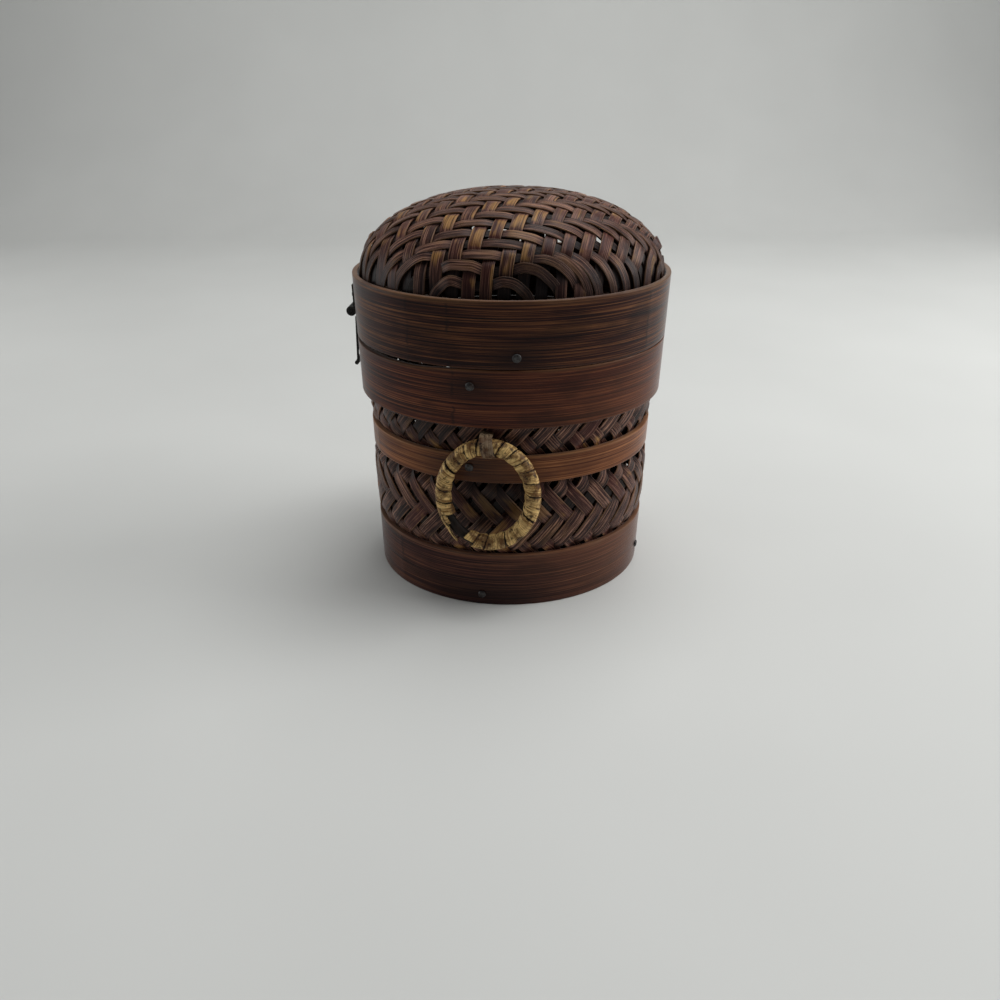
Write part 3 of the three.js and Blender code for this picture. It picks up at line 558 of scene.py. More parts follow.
def revolve(
    bm: BMesh,
    profile: Sequence[tuple[float, float]],
    place: Callable[[float, float, float], Vector],
    closed: bool = False,
    sides: int = 28,
) -> None:
    """Turns a profile once round an axis.

    Args:
        bm: The bmesh to add to.
        profile: Radius and height of each corner; an open profile starts and ends on the axis.
        place: Carries a height and two distances across the axis into the box's frame.
        closed: Whether the profile is a closed ring away from the axis.
        sides: Facets round the axis.
    """
    rows = len(profile) if closed else len(profile) - 1
    made = bmesh.ops.create_grid(bm, x_segments=sides, y_segments=rows, size=1.0)["verts"]
    for vert in made:
        turn = math.pi * (vert.co.x + 1)
        radius, height = profile[round((vert.co.y + 1) / 2 * rows) % len(profile)]
        vert.co = place(height, radius * math.cos(turn), radius * math.sin(turn))
    bmesh.ops.remove_doubles(bm, verts=made, dist=SEAM)


def soften(bm: BMesh, edges: Iterable[bmesh.types.BMEdge], width: float, segments: int = 2) -> None:
    """Rounds off edges of a bmesh."""
    bmesh.ops.bevel(
        bm, geom=list(edges), offset=width, segments=segments, profile=0.5, affect="EDGES", material=-1
    )


@dataclass(frozen=True)
class Outline:
    """Oval that the box follows, drawn by the direction of its normal."""

    half_length: float
    half_width: float
    steps: int = 720
    settle_rounds: int = 6

    def point(self, angle: float, offset: float, z: float = 0.0) -> Vector:
        """Point whose outward normal has this angle, at an offset outside the oval and at a height."""
        along, across = math.cos(angle), math.sin(angle)
        reach = math.hypot(self.half_length * along, self.half_width * across)
        return Vector((
            self.half_length**2 * along / reach + offset * along,
            self.half_width**2 * across / reach + offset * across,
            z,
        ))

    def bend_radius(self, angle: float) -> float:
        """Radius of the oval's bend where the normal has this angle."""
        reach = math.hypot(self.half_length * math.cos(angle), self.half_width * math.sin(angle))
        return (self.half_length * self.half_width) ** 2 / reach**3

    def lengths(self) -> list[float]:
        """Length of the way round the oval up to each step."""
        walked = [0.0]
        last = self.point(0.0, 0.0)
        for step in range(1, self.steps + 1):
            here = self.point(FULL_TURN * step / self.steps, 0.0)
            walked.append(walked[-1] + (here - last).length)
            last = here
        return walked

    def angle_of(self, point: Vector) -> float:
        """Angle of the normal that passes near a point of the wall."""
        angle = math.atan2(point.y * self.half_length, point.x * self.half_width)
        for _ in range(self.settle_rounds):
            away = point - self.point(angle, 0.0)
            angle += (-math.sin(angle) * away.x + math.cos(angle) * away.y) / self.half_width
        return angle


class OvalWalk:
    """Looks up the angle of the normal after a length round the oval."""

    def __init__(self, outline: Outline) -> None:
        """Measures the oval once."""
        self.lengths = outline.lengths()
        self.whole = self.lengths[-1]
        self.step = FULL_TURN / outline.steps

    def angle(self, length: float) -> float:
        """Angle after a length, which may run past the whole way round."""
        turns, rest = divmod(length, self.whole)
        after = min(max(bisect_left(self.lengths, rest), 1), len(self.lengths) - 1)
        low, high = self.lengths[after - 1], self.lengths[after]
        return turns * FULL_TURN + self.step * (after - 1 + (rest - low) / (high - low))


@dataclass(frozen=True)
class SideFrame:
    """Frame on the side of the box: outwards, along the outline, and up."""

    origin: Vector
    outward: Vector

    @classmethod
    def of_joint(cls, name: str) -> "SideFrame":
        """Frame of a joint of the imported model."""
        joint = next(item for item in frame["joints"] if item["name"] == name)
        origin = Vector(joint["pos_m"])
        outward = Vector(joint["axis"]).normalized().cross(UP)
        if outward.dot(origin) < 0:
            outward.negate()
        return cls(origin, outward)

    @classmethod
    def on(cls, outline: Outline, angle: float, offset: float, z: float) -> "SideFrame":
        """Frame at an offset from the outline, by the angle of its normal."""
        return cls(outline.point(angle, offset, z), Vector((math.cos(angle), math.sin(angle), 0)))

    @property
    def along(self) -> Vector:
        """Direction along the outline, to the right seen from outside."""
        return UP.cross(self.outward)

    def vector(self, local: Vector) -> Vector:
        """Direction of a local vector in the box's frame."""
        return self.outward * local.x + self.along * local.y + UP * local.z

    def point(self, local: Vector) -> Vector:
        """Place of a local point in the box's frame."""
        return self.origin + self.vector(local)

    def moved(self, x: float, y: float, z: float) -> "SideFrame":
        """The same frame at another place of it."""
        return SideFrame(self.point(Vector((x, y, z))), self.outward)


@dataclass(frozen=True)
class StripFrame:
    """Place of a strip's section: its middle, its half-width vector, outwards, and its values."""

    centre: Vector
    across: Vector
    out: Vector
    run: float
    lift: float


@dataclass(frozen=True)
class StripSection:
    """Flat cane section with small chamfers and a slight crown."""

    thickness: float
    crown: float
    chamfer: float = 0.06

    def corners(self) -> list[tuple[float, float]]:
        """Corners once round, each as share of the half-width and height above the middle."""
        half = self.thickness / 2
        flat = 1 - self.chamfer
        top = [(flat * side, half + self.crown * (1 - side * side)) for side in (1, 0.5, 0, -0.5, -1)]
        left = [(-1.0, half / 2), (-1.0, -half / 2), (-flat, -half)]
        return [(flat, -half), (1.0, -half / 2), (1.0, half / 2), *top, *left]


def lay_strip(
    bm: BMesh, section: StripSection, steps: int, tone: float, at: Callable[[float], StripFrame]
) -> None:
    """Adds one closed strip of cane to a bmesh.

    Args:
        bm: The bmesh, with the strip layers.
        section: Section of the strip.
        steps: Steps along the strip.
        tone: Shade of this strip, from 0 to 1.
        at: Gives the strip's frame at a share of its length.
    """
    along, across, shade, lift = (bm.verts.layers.float[layer.value] for layer in STRIP_LAYERS)
    corners = section.corners()
    frames = [at(step / steps) for step in range(steps + 1)]
    made = bmesh.ops.create_grid(bm, x_segments=steps, y_segments=len(corners), size=1.0)["verts"]
    for vert in made:
        here = frames[round((vert.co.x + 1) / 2 * steps)]
        side, rise = corners[round((vert.co.y + 1) / 2 * len(corners)) % len(corners)]
        vert.co = here.centre + here.across * side + here.out * rise
        vert[along] = here.run
        vert[across] = side
        vert[shade] = tone
        vert[lift] = here.lift
    bmesh.ops.remove_doubles(bm, verts=made, dist=SEAM)
    kept = [vert for vert in made if vert.is_valid]
    ends = {edge for vert in kept for edge in vert.link_edges if edge.is_boundary}
    bmesh.ops.holes_fill(bm, edges=list(ends), sides=0)


def strip_frame(
    place: Callable[[float], Vector],
    outward: Vector,
    share: float,
    half_width: float,
    run: float,
    lift: float,
    twist: float = 0.0,
) -> StripFrame:
    """Frame of a strip from its centre line.

    Args:
        place: Centre line, by share of the length.
        outward: Rough direction away from the weave.
        share: Where on the centre line.
        half_width: Half the width of the strip.
        run: Length along the strip so far.
        lift: 1 on top of the weave, 0 under it.
        twist: How far the strip is turned about its own length.

    Returns:
        The frame.
    """
    small = 0.002
    heading = (place(min(1.0, share + small)) - place(max(0.0, share - small))).normalized()
    across = heading.cross(outward).normalized()
    out = across.cross(heading).normalized()
    turned = across * math.cos(twist) + out * math.sin(twist)
    return StripFrame(place(share), turned * half_width, turned.cross(heading).normalized(), run, lift)


@dataclass(frozen=True)
class WallStrip:
    """One bias strip of the wall: its lean, its start round the oval, half-width, shade and twist."""

    lean: Lean
    start: float
    half: float
    tone: float
    twist: float


@dataclass
class WovenWall:
    """Bias twill of cane strips round the basket, drawn in behind each band."""

    outline: Outline
    walk: OvalWalk
    material: Material
    strips: int = 36
    level_step: float = 5.6 * MM
    first_level: float = 20.3 * MM
    widths: dict[Lean, float] = field(
        default_factory=lambda: {Lean.RISING: 5.8 * MM, Lean.FALLING: 4.9 * MM}
    )
    lift: float = 0.55 * MM
    wall: float = 2.2 * MM
    swell_run: float = 4.5 * MM
    band_gap: float = 0.3 * MM
    band_wall: float = 2.0 * MM
    end_margin: float = 2.4 * MM
    steps: int = 64
    flatness: float = 2.0
    section: StripSection = StripSection(0.7 * MM, 0.1 * MM)
    seed: int = 11
    start_play: float = 0.3 * MM
    width_play: tuple[float, float] = (0.93, 1.04)
    twist_play: float = 0.07
    knots: list[tuple[float, float]] = field(default_factory=list)

    def __post_init__(self) -> None:
        """Takes the course of the wall from the bands that hold it."""
        low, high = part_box("woven_wall")
        tight = self.band_gap + self.band_wall
        base_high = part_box("base_hoop")[1]
        mid_low, mid_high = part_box("mid_hoop")
        rim_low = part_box("rim_hoop")[0]
        swell = high.x - self.outline.half_length
        base = base_high.x - self.outline.half_length - tight
        middle = mid_high.x - self.outline.half_length - tight
        self.knots = [
            (low.z, base),
            (base_high.z, base),
            (base_high.z + self.swell_run, swell),
            (mid_low.z - self.swell_run, swell),
            (mid_low.z, middle),
            (mid_high.z, middle),
            (mid_high.z + self.swell_run, swell - self.band_gap),
            (rim_low.z, -tight),
            (high.z, -tight),
        ]

    def face(self, z: float) -> float:
        """Offset of the middle of the weave at a height."""
        for (z0, offset0), (z1, offset1) in zip(self.knots, self.knots[1:]):
            if z <= z1:
                return offset0 + (offset1 - offset0) * smooth_step(z, z0, z1) - self.wall / 2
        return self.knots[-1][1] - self.wall / 2

    def build(self) -> Object:
        """Weaves the wall."""
        bm = layered_bmesh(STRIP_LAYERS)
        chance = random.Random(self.seed)
        pitch = self.walk.whole / self.strips
        for lean in Lean:
            for number in range(self.strips):
                start = number * pitch + chance.uniform(-self.start_play, self.start_play)
                half = self.widths[lean] / 2 * chance.uniform(*self.width_play)
                tone = chance.random()
                twist = chance.uniform(-self.twist_play, self.twist_play)
                self.lay(bm, WallStrip(lean, start, half, tone, twist))
        return add_piece(bm, "wall_weave", self.material, Body.BASKET, Slot.CANE, ["woven_wall"])

    def lay(self, bm: BMesh, strip: WallStrip) -> None:
        """Adds one strip of the wall."""
        foot = self.knots[0][0] + self.end_margin
        height = self.knots[-1][0] - self.end_margin - foot
        middle = self.first_level + self.level_step / 2
        climb = 2 * self.level_step * self.strips / self.walk.whole
        slant = strip.lean.value / climb

        def wave(z: float) -> float:
            over = -strip.lean.value * math.cos(FULL_TURN * (z - middle) / (4 * self.level_step))
            return math.tanh(self.flatness * over) / math.tanh(self.flatness)

        def angle(z: float) -> float:
            return self.walk.angle(strip.start + slant * (z - self.first_level))

        def place(share: float) -> Vector:
            z = foot + height * share
            return self.outline.point(angle(z), self.face(z) + self.lift * wave(z), z)

        def at(share: float) -> StripFrame:
            z = foot + height * share
            outward = Vector((math.cos(angle(z)), math.sin(angle(z)), 0))
            run = height * share * math.hypot(1, slant)
            return strip_frame(place, outward, share, strip.half, run, (wave(z) + 1) / 2, strip.twist)

        lay_strip(bm, self.section, self.steps, strip.tone, at)


@dataclass(frozen=True)
class DomeForm:
    """Middle surface of the woven dome: an oval crown on a straight skirt."""

    half_length: float
    half_width: float
    spring: float
    rise: float
    foot: float
    fullness: float = 2.2

    @classmethod
    def measured(cls, half_wall: float, spring_drop: float) -> "DomeForm":
        """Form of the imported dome, by half its wall and the drop from the lid's edge to its spring."""
        low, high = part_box("lid_dome")
        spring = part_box("lid_hoop")[1].z - spring_drop
        return cls(high.x - half_wall, high.y - half_wall, spring, high.z - half_wall - spring, low.z)

    def share(self, point: Vector) -> float:
        """Share of the way from the middle to the rim in plan."""
        return math.hypot(point.x / self.half_length, point.y / self.half_width)

    def height(self, point: Vector) -> float:
        """Height of the crown over a place in plan."""
        share = min(1.0, self.share(point))
        return self.spring + self.rise * (1 - share**self.fullness) ** (1 / self.fullness)

    def normal(self, point: Vector) -> Vector:
        """Outward direction at a point of the crown or the skirt."""
        share = max(1e-6, self.share(point))
        slope = share ** (self.fullness - 2)
        up = max(0.0, (point.z - self.spring) / self.rise) ** (self.fullness - 1) / self.rise
        flat = Vector((point.x / self.half_length**2, point.y / self.half_width**2, 0)) * slope
        return (flat + UP * up).normalized()

    def in_plan(self, arc: float, across: Vector, steps: int = 200) -> float:
        """Place in plan after a length over the crown from its top.

        Args:
            arc: Length over the crown, either way.
            across: Direction of the way in plan.
            steps: Fineness of the measure.

        Returns:
            Distance from the middle in plan, with the sign of the length.
        """
        reach = math.hypot(self.half_length * across.x, self.half_width * across.y)
        walked, x, z = 0.0, 0.0, 1.0
        for step in range(1, steps + 1):
            next_x = math.sin(QUARTER_TURN * step / steps)
            next_z = max(0.0, 1 - next_x**self.fullness) ** (1 / self.fullness)
            piece = math.hypot((next_x - x) * reach, (next_z - z) * self.rise)
            if walked + piece >= abs(arc):
                x += (next_x - x) * (abs(arc) - walked) / piece
                return math.copysign(x * reach, arc)
            walked, x, z = walked + piece, next_x, next_z
        return math.copysign(reach, arc)


@dataclass(frozen=True)
class DomeChord:
    """One strip's course over the dome, with its ends down the skirt.

    It is straight in plan over the crown. With a bow it follows the rim where it is near it, as a stiff
    strip does.
    """

    form: DomeForm
    heading: Vector
    offset: float
    bow: float = 0.0
    bow_from: float = 0.75
    bow_to: float = 0.97
    stretch: float = 0.45
    skirt: float = 0.16

    @property
    def across(self) -> Vector:
        """Direction across the chord in plan."""
        return Vector((self.heading.y, -self.heading.x, 0))

    def ends(self) -> tuple[float, float]:
        """Middle and half-length of the chord along its heading."""
        start = self.across * self.offset
        d = Vector((self.heading.x / self.form.half_length, self.heading.y / self.form.half_width, 0))
        p = Vector((start.x / self.form.half_length, start.y / self.form.half_width, 0))
        middle = -p.dot(d) / d.length_squared
        rest = max(0.0, 1 - (p + d * middle).length_squared)
        return middle, math.sqrt(rest) / d.length

    def share_at(self, distance: float) -> float | None:
        """Share of a straight strip's length at a distance along the heading, or None off the crown."""
        middle, half = self.ends()
        lean = (distance - middle) / half
        return self.share_of(lean) if abs(lean) < 1 else None

    def share_of(self, lean: float) -> float:
        """Share of the strip's length at a place on its chord, from -1 to 1."""
        return 0.5 + (0.5 - self.skirt) * math.asin(lean) / QUARTER_TURN

    def plan(self, lean: float) -> Vector:
        """Point in plan at a place on the chord, from -1 to 1."""
        middle, half = self.ends()
        near = self.across * self.offset + self.heading * middle
        inner = self.form.share(near)
        bow = self.bow * smooth_step(inner, self.bow_from, self.bow_to)
        point = near + self.heading * (half * (1 + self.stretch * bow) * lean)
        straight = math.sqrt(inner**2 + (1 - inner**2) * lean**2)
        reach = (1 - bow) * straight + bow * (inner + (1 - inner) * lean**4)
        return point * (reach / max(1e-9, self.form.share(point)))

    def place(self, share: float) -> Vector:
        """Point of the middle surface at a share of the strip's length."""
        turn = (share - 0.5) / (0.5 - self.skirt)
        point = self.plan(math.sin(QUARTER_TURN * max(-1.0, min(1.0, turn))))
        drop = max(0.0, abs(turn) - 1) * (0.5 - self.skirt) / self.skirt
        point.z = self.form.height(point)
        if drop > 0:
            point.z = self.form.spring - drop * (self.form.spring - self.form.foot)
        return point


@dataclass
class StripSet:
    """One of the two sets of strips in the dome: its courses, their width and range of shades."""

    chords: list[DomeChord]
    width: float
    tones: tuple[float, float]


@dataclass
class WovenDome:
    """Twill of straight cane strips over the lid, each over two and under two, loose near the rim."""

    form: DomeForm
    material: Material
    warp_pitch: float = 5.8 * MM
    warp_start: float = 4.6 * MM
    warp_lean: float = math.radians(20)
    warp_width: float = 4.3 * MM
    weft_pitch: float = 3.7 * MM
    weft_growth: float = 0.035 * MM
    weft_lean: float = math.radians(11)
    weft_width: float = 3.2 * MM
    weft_bow: float = 1.0
    wefts_each_way: int = 13
    warps_each_way: int = 11
    first_over: int = 2
    lift: float = 0.5 * MM
    bulge: float = 1.5 * MM
    arch: float = 1.8 * MM
    loose_from: tuple[float, float] = (2.0 * MM, 5.0 * MM)
    loose_to: tuple[float, float] = (9.0 * MM, 17.0 * MM)
    steps: int = 120
    course_steps: int = 60
    section: StripSection = StripSection(0.55 * MM, 0.06 * MM)
    seed: int = 5
    width_play: tuple[float, float] = (0.92, 1.05)
    twist_play: float = 0.08
    level_share: tuple[float, float] = (0.35, 0.85)

    def warps(self) -> StripSet:
        """Strips that run from the front to the back."""
        heading = Vector((math.sin(self.warp_lean), math.cos(self.warp_lean), 0))
        numbers = range(-self.warps_each_way - 1, self.warps_each_way)
        arcs = [self.warp_start + self.warp_pitch * number for number in numbers]
        return StripSet(self.chords(heading, arcs), self.warp_width, (0.5, 1.0))

    def wefts(self) -> StripSet:
        """Strips that run from left to right, wider apart towards the rim."""
        heading = Vector((-math.cos(self.weft_lean), math.sin(self.weft_lean), 0))
        numbers = range(-self.wefts_each_way, self.wefts_each_way + 1)
        arcs = [number * (self.weft_pitch + self.weft_growth * abs(number)) for number in numbers]
        return StripSet(self.chords(heading, arcs, self.weft_bow), self.weft_width, (0.0, 0.5))

    def chords(self, heading: Vector, arcs: Sequence[float], bow: float = 0.0) -> list[DomeChord]:
        """Courses of a set of strips over the dome."""
        across = Vector((heading.y, -heading.x, 0))
        return [DomeChord(self.form, heading, self.form.in_plan(arc, across), bow) for arc in arcs]

    def meetings(self, warps: Sequence[DomeChord], weft: DomeChord) -> list[tuple[int, float, float]]:
        """Where a weft meets the warps.

        Args:
            warps: Courses of the warps, straight in plan.
            weft: Course of the weft.

        Returns:
            For each meeting the warp's number, the share of the weft's length and of the warp's.
        """
        leans = [step / self.course_steps for step in range(-self.course_steps, self.course_steps + 1)]
        course = [weft.plan(lean) for lean in leans]
        found = []
        for number, warp in enumerate(warps):
            sides = [point.dot(warp.across) - warp.offset for point in course]
            for step, (side, after) in enumerate(zip(sides, sides[1:])):
                if side * after >= 0:
                    continue
                part = side / (side - after)
                share = warp.share_at(course[step].lerp(course[step + 1], part).dot(warp.heading))
                if share is not None:
                    lean = leans[step] + (leans[step + 1] - leans[step]) * part
                    found.append((number, weft.share_of(lean), share))
        return found

    @staticmethod
    def lift_at(crossings: Sequence[tuple[float, float]], share: float) -> float:
        """Smooth lift between the crossings of a strip, from 0 under to 1 over."""
        if not crossings:
            return 0.5
        if share <= crossings[0][0]:
            return crossings[0][1]
        for (share0, lift0), (share1, lift1) in zip(crossings, crossings[1:]):
            if share <= share1:
                return lift0 + (lift1 - lift0) * smooth_step(share, share0, share1)
        return crossings[-1][1]

    def build(self) -> Object:
        """Weaves the dome."""
        bm = layered_bmesh(STRIP_LAYERS)
        chance = random.Random(self.seed)
        warps, wefts = self.warps(), self.wefts()

        warp_lifts: list[list[tuple[float, float]]] = [[] for _ in warps.chords]
        weft_lifts: list[list[tuple[float, float]]] = [[] for _ in wefts.chords]
        for weft, chord in enumerate(wefts.chords):
            for warp, weft_share, warp_share in self.meetings(warps.chords, chord):
                place = weft - self.wefts_each_way - warp + self.warps_each_way
                over = 1.0 if (place + self.first_over) % 4 < 2 else 0.0
                warp_lifts[warp].append((warp_share, over))
                weft_lifts[weft].append((weft_share, 1 - over))
        for strips, lifts in ((warps, warp_lifts), (wefts, weft_lifts)):
            for chord, crossings in zip(strips.chords, lifts):
                self.lay(bm, chord, sorted(crossings), strips, chance)
        return add_piece(bm, "dome_weave", self.material, Body.LID, Slot.CANE, ["lid_dome"])

    def looseness(self, chord: DomeChord, share: float) -> float:
        """How loose a strip lies: 1 where it runs along the rim, 0 on the crown and in the skirt."""
        above = chord.place(share).z - self.form.spring
        near = smooth_step(above, *self.loose_from) * (1 - smooth_step(above, *self.loose_to))
        small = 0.01
        course = chord.place(min(1.0, share + small)) - chord.place(max(0.0, share - small))
        return near * smooth_step(1 - abs(course.normalized().z), *self.level_share)

    def lay(
        self,
        bm: BMesh,
        chord: DomeChord,
        crossings: Sequence[tuple[float, float]],
        strips: StripSet,
        chance: random.Random,
    ) -> None:
        """Adds one strip of the dome.

        Args:
            bm: The bmesh of the dome.
            chord: Course of the strip.
            crossings: Where it goes over and under.
            strips: The set that it belongs to.
            chance: Source of its small irregularities.
        """
        half = strips.width / 2 * chance.uniform(*self.width_play)
        twist = chance.uniform(-self.twist_play, self.twist_play)
        tone = chance.uniform(*strips.tones)
        length = 2 * chord.ends()[1] + 2 * (self.form.spring - self.form.foot)

        def place(share: float) -> Vector:
            point = chord.place(share)
            normal = self.form.normal(point)
            rise = self.lift_at(crossings, share)
            loose = self.looseness(chord, share)
            climb = UP - normal * normal.z
            raised = (2 * rise - 1) * self.lift + loose * rise * self.bulge
            return point + normal * raised + climb * (loose * (rise - 0.5) * self.arch)

        def at(share: float) -> StripFrame:
            outward = self.form.normal(chord.place(share))
            lift = self.lift_at(crossings, share)
            return strip_frame(place, outward, share, half, share * length, lift, twist)

        lay_strip(bm, self.section, self.steps, tone, at)


@dataclass
class WovenFloor:
    """Flat twill of cane in the bottom of the basket."""

    outline: Outline
    material: Material
    inset: float = 8.6 * MM
    pitch: float = 7.4 * MM
    width: float = 6.8 * MM
    lift: float = 0.4 * MM
    steps: int = 48
    flatness: float = 2.0
    section: StripSection = StripSection(0.6 * MM, 0.05 * MM)
    seed: int = 3
    first_over: tuple[float, float] = (-0.5, 2.5)

    def build(self) -> Object:
        """Weaves the floor."""
        bm = layered_bmesh(STRIP_LAYERS)
        chance = random.Random(self.seed)
        reach = (self.outline.half_length - self.inset, self.outline.half_width - self.inset)
        for axis in (0, 1):
            count = int(reach[1 - axis] / self.pitch)
            for number in range(-count, count + 1):
                edge = (abs(number) * self.pitch + self.width / 2) / reach[1 - axis]
                half = reach[axis] * math.sqrt(max(0.0, 1 - edge * edge))
                if half > self.pitch:
                    self.lay(bm, axis, number, half, chance.random())
        return add_piece(bm, "floor_weave", self.material, Body.BASKET, Slot.CANE, ["woven_floor"])

    def lay(self, bm: BMesh, axis: int, number: int, half: float, tone: float) -> None:
        """Adds one strip of the floor.

        Args:
            bm: The bmesh of the floor.
            axis: 0 for a strip along X, 1 for one along Y.
            number: Its number in its set, from the middle.
            half: Half its length.
            tone: Its shade.
        """
        low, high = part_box("woven_floor")
        level = (low.z + high.z) / 2

        def over(distance: float) -> float:
            phase = QUARTER_TURN * (distance / self.pitch - number + self.first_over[axis])
            return math.tanh(self.flatness * math.cos(phase)) / math.tanh(self.flatness)

        def place(share: float) -> Vector:
            distance = half * (2 * share - 1)
            aside = number * self.pitch
            flat = (distance, aside) if axis == 0 else (aside, distance)
            return Vector((*flat, level + self.lift * over(distance)))

        def at(share: float) -> StripFrame:
            distance = half * (2 * share - 1)
            return strip_frame(place, UP, share, self.width / 2, distance, (over(distance) + 1) / 2)

        lay_strip(bm, self.section, self.steps, tone, at)


@dataclass(frozen=True)
class RimSag:
    """How the mouth of the basket sags towards the hasp."""

    depth: float = 1.2 * MM
    middle: float = math.radians(195)
    spread: float = math.radians(40)
    fade: float = math.radians(22)

    def at(self, angle: float) -> float:
        """Depth of the sag where the normal has this angle."""
        away = abs(math.atan2(math.sin(angle - self.middle), math.cos(angle - self.middle)))
        return self.depth * (1 - smooth_step(away, self.spread, self.spread + self.fade))


@dataclass(frozen=True)
class Notch:
    """Notch for the hinge in the upper or lower edge of a band."""

    at_top: bool
    angle: float = math.radians(8)
    half_width: float = 5.6 * MM
    depth: float = 1.34 * MM


@dataclass(frozen=True)
class StainAndShadow:
    """How far a dark mark spreads round a spot: stain round nails, painted shadow round the rings."""

    length: float = 12.0 * MM
    height: float = 6.0 * MM


@dataclass
class Hoop:
    """Bent wood band with softened edges, faint cane joints, stains round its nails and painted shadow round
    any rings.
    """

    outline: Outline
    node: str
    material: Material
    body: Body
    slot: Slot
    nails: Sequence[str] = ()
    joints: Sequence[float] = ()
    wall: float = 2.0 * MM
    sag: RimSag | None = None
    notch: Notch | None = None
    stain: StainAndShadow = StainAndShadow()
    soft_edge: float = 0.35 * MM
    columns: int = 240
    rows: int = 12
    mark_reach: float = 5.0 * MM
    ridge: float = 0.08 * MM
    ridge_width: float = 1.6 * MM
    wear_top: float = 0.9 * MM
    wear_bottom: float = 0.4 * MM
    sharp_turn: float = math.radians(60)

    def build(self) -> Object:
        """Bends the band and dresses it."""
        low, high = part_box(self.node)
        offset = high.x - self.outline.half_length
        angles = [FULL_TURN * column / self.columns for column in range(self.columns)]
        levels = [low.z + (high.z - low.z) * row / self.rows for row in range(self.rows + 1)]
        if self.notch:
            self.fit_notch(angles, levels)
        bm = layered_bmesh(BAND_LAYERS)
        made = bmesh.ops.create_grid(bm, x_segments=self.columns, y_segments=self.rows, size=1.0)["verts"]
        for vert in made:
            column = round((vert.co.x + 1) / 2 * self.columns) % self.columns
            row = round((vert.co.y + 1) / 2 * self.rows)
            vert.co = self.outline.point(angles[column], offset, levels[row])
        bmesh.ops.remove_doubles(bm, verts=made, dist=SEAM)
        if self.notch:
            self.cut_notch(bm, low.z, high.z)
        bmesh.ops.recalc_face_normals(bm, faces=bm.faces)
        face = bm.faces[:][0]
        if face.normal.dot(face.calc_center_median() - UP * low.z) < 0:
            bmesh.ops.reverse_faces(bm, faces=bm.faces)
        bmesh.ops.solidify(bm, geom=bm.faces[:], thickness=self.wall)
        turns = [edge for edge in bm.edges if edge.is_manifold and edge.calc_face_angle() > self.sharp_turn]
        soften(bm, turns, self.soft_edge, segments=3)
        self.dress(bm, low.z, high.z, offset)
        return add_piece(bm, f"{self.node}_bent", self.material, self.body, self.slot, [self.node])

    def notch_half_angle(self) -> float:
        """Half the angle that the notch takes up."""
        return math.asin(self.notch.half_width / self.outline.bend_radius(self.notch.angle))

    def fit_notch(self, angles: list[float], levels: list[float]) -> None:
        """Moves the nearest columns and row of the band onto the sides of the notch."""
        half = self.notch_half_angle()
        for side in (self.notch.angle - half, self.notch.angle + half):
            nearest = min(range(len(angles)), key=lambda column: abs(angles[column] - side % FULL_TURN))
            angles[nearest] = side % FULL_TURN
        level = levels[-1] - self.notch.depth if self.notch.at_top else levels[0] + self.notch.depth
        levels[-2 if self.notch.at_top else 1] = level

    def cut_notch(self, bm: BMesh, low: float, high: float) -> None:
        """Takes the faces of the notch out of the band."""
        half = self.notch_half_angle()
        gone = []
        for face in bm.faces:
            middle = face.calc_center_median()
            beyond = high - middle.z if self.notch.at_top else middle.z - low
            turn = abs(self.outline.angle_of(Vector((middle.x, middle.y, 0))) - self.notch.angle)
            if beyond < self.notch.depth and turn < half:
                gone.append(face)
        bmesh.ops.delete(bm, geom=gone, context="FACES")

    def dress(self, bm: BMesh, low: float, high: float, offset: float) -> None:
        """Sags the mouth, raises the cane joints and writes the values of the finish.

        Args:
            bm: The bmesh of the band.
            low: Height of the lower edge.
            high: Height of the upper edge.
            offset: Offset of the outer face.
        """
        edge, mark, mark_near, stain = (bm.verts.layers.float[layer.value] for layer in BAND_LAYERS)
        spots = [sum(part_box(nail), Vector()) / 2 for nail in self.nails]
        for vert in bm.verts:
            angle = self.outline.angle_of(Vector((vert.co.x, vert.co.y, 0)))
            flat = self.outline.point(angle, offset)
            out = Vector((math.cos(angle), math.sin(angle), 0))
            top = 1 - smooth_step(high - vert.co.z, 0.0, self.wear_top)
            bottom = 1 - smooth_step(vert.co.z - low, 0.0, self.wear_bottom)
            vert[edge] = max(top, bottom / 2)
            ways = [flat - self.outline.point(joint, offset) for joint in self.joints]
            aways = [way.dot(UP.cross(out)) for way in ways]
            gaps = [way.length for way in ways]
            nearest = min(range(len(gaps)), key=gaps.__getitem__)
            vert[mark] = aways[nearest] / MM
            vert[mark_near] = 1 - smooth_step(gaps[nearest], self.mark_reach / 2, self.mark_reach)
            blot = 0.0
            for spot in spots:
                along = (flat - Vector((spot.x, spot.y, 0))).length / self.stain.length
                up = (vert.co.z - spot.z) / self.stain.height
                blot = max(blot, math.exp(-(along * along + up * up)))
            vert[stain] = blot
            vert.co += out * self.ridge * math.exp(-((gaps[nearest] / self.ridge_width) ** 2))
            if self.sag:
                vert.co.z -= self.sag.at(angle) * (vert.co.z - low) / (high - low)


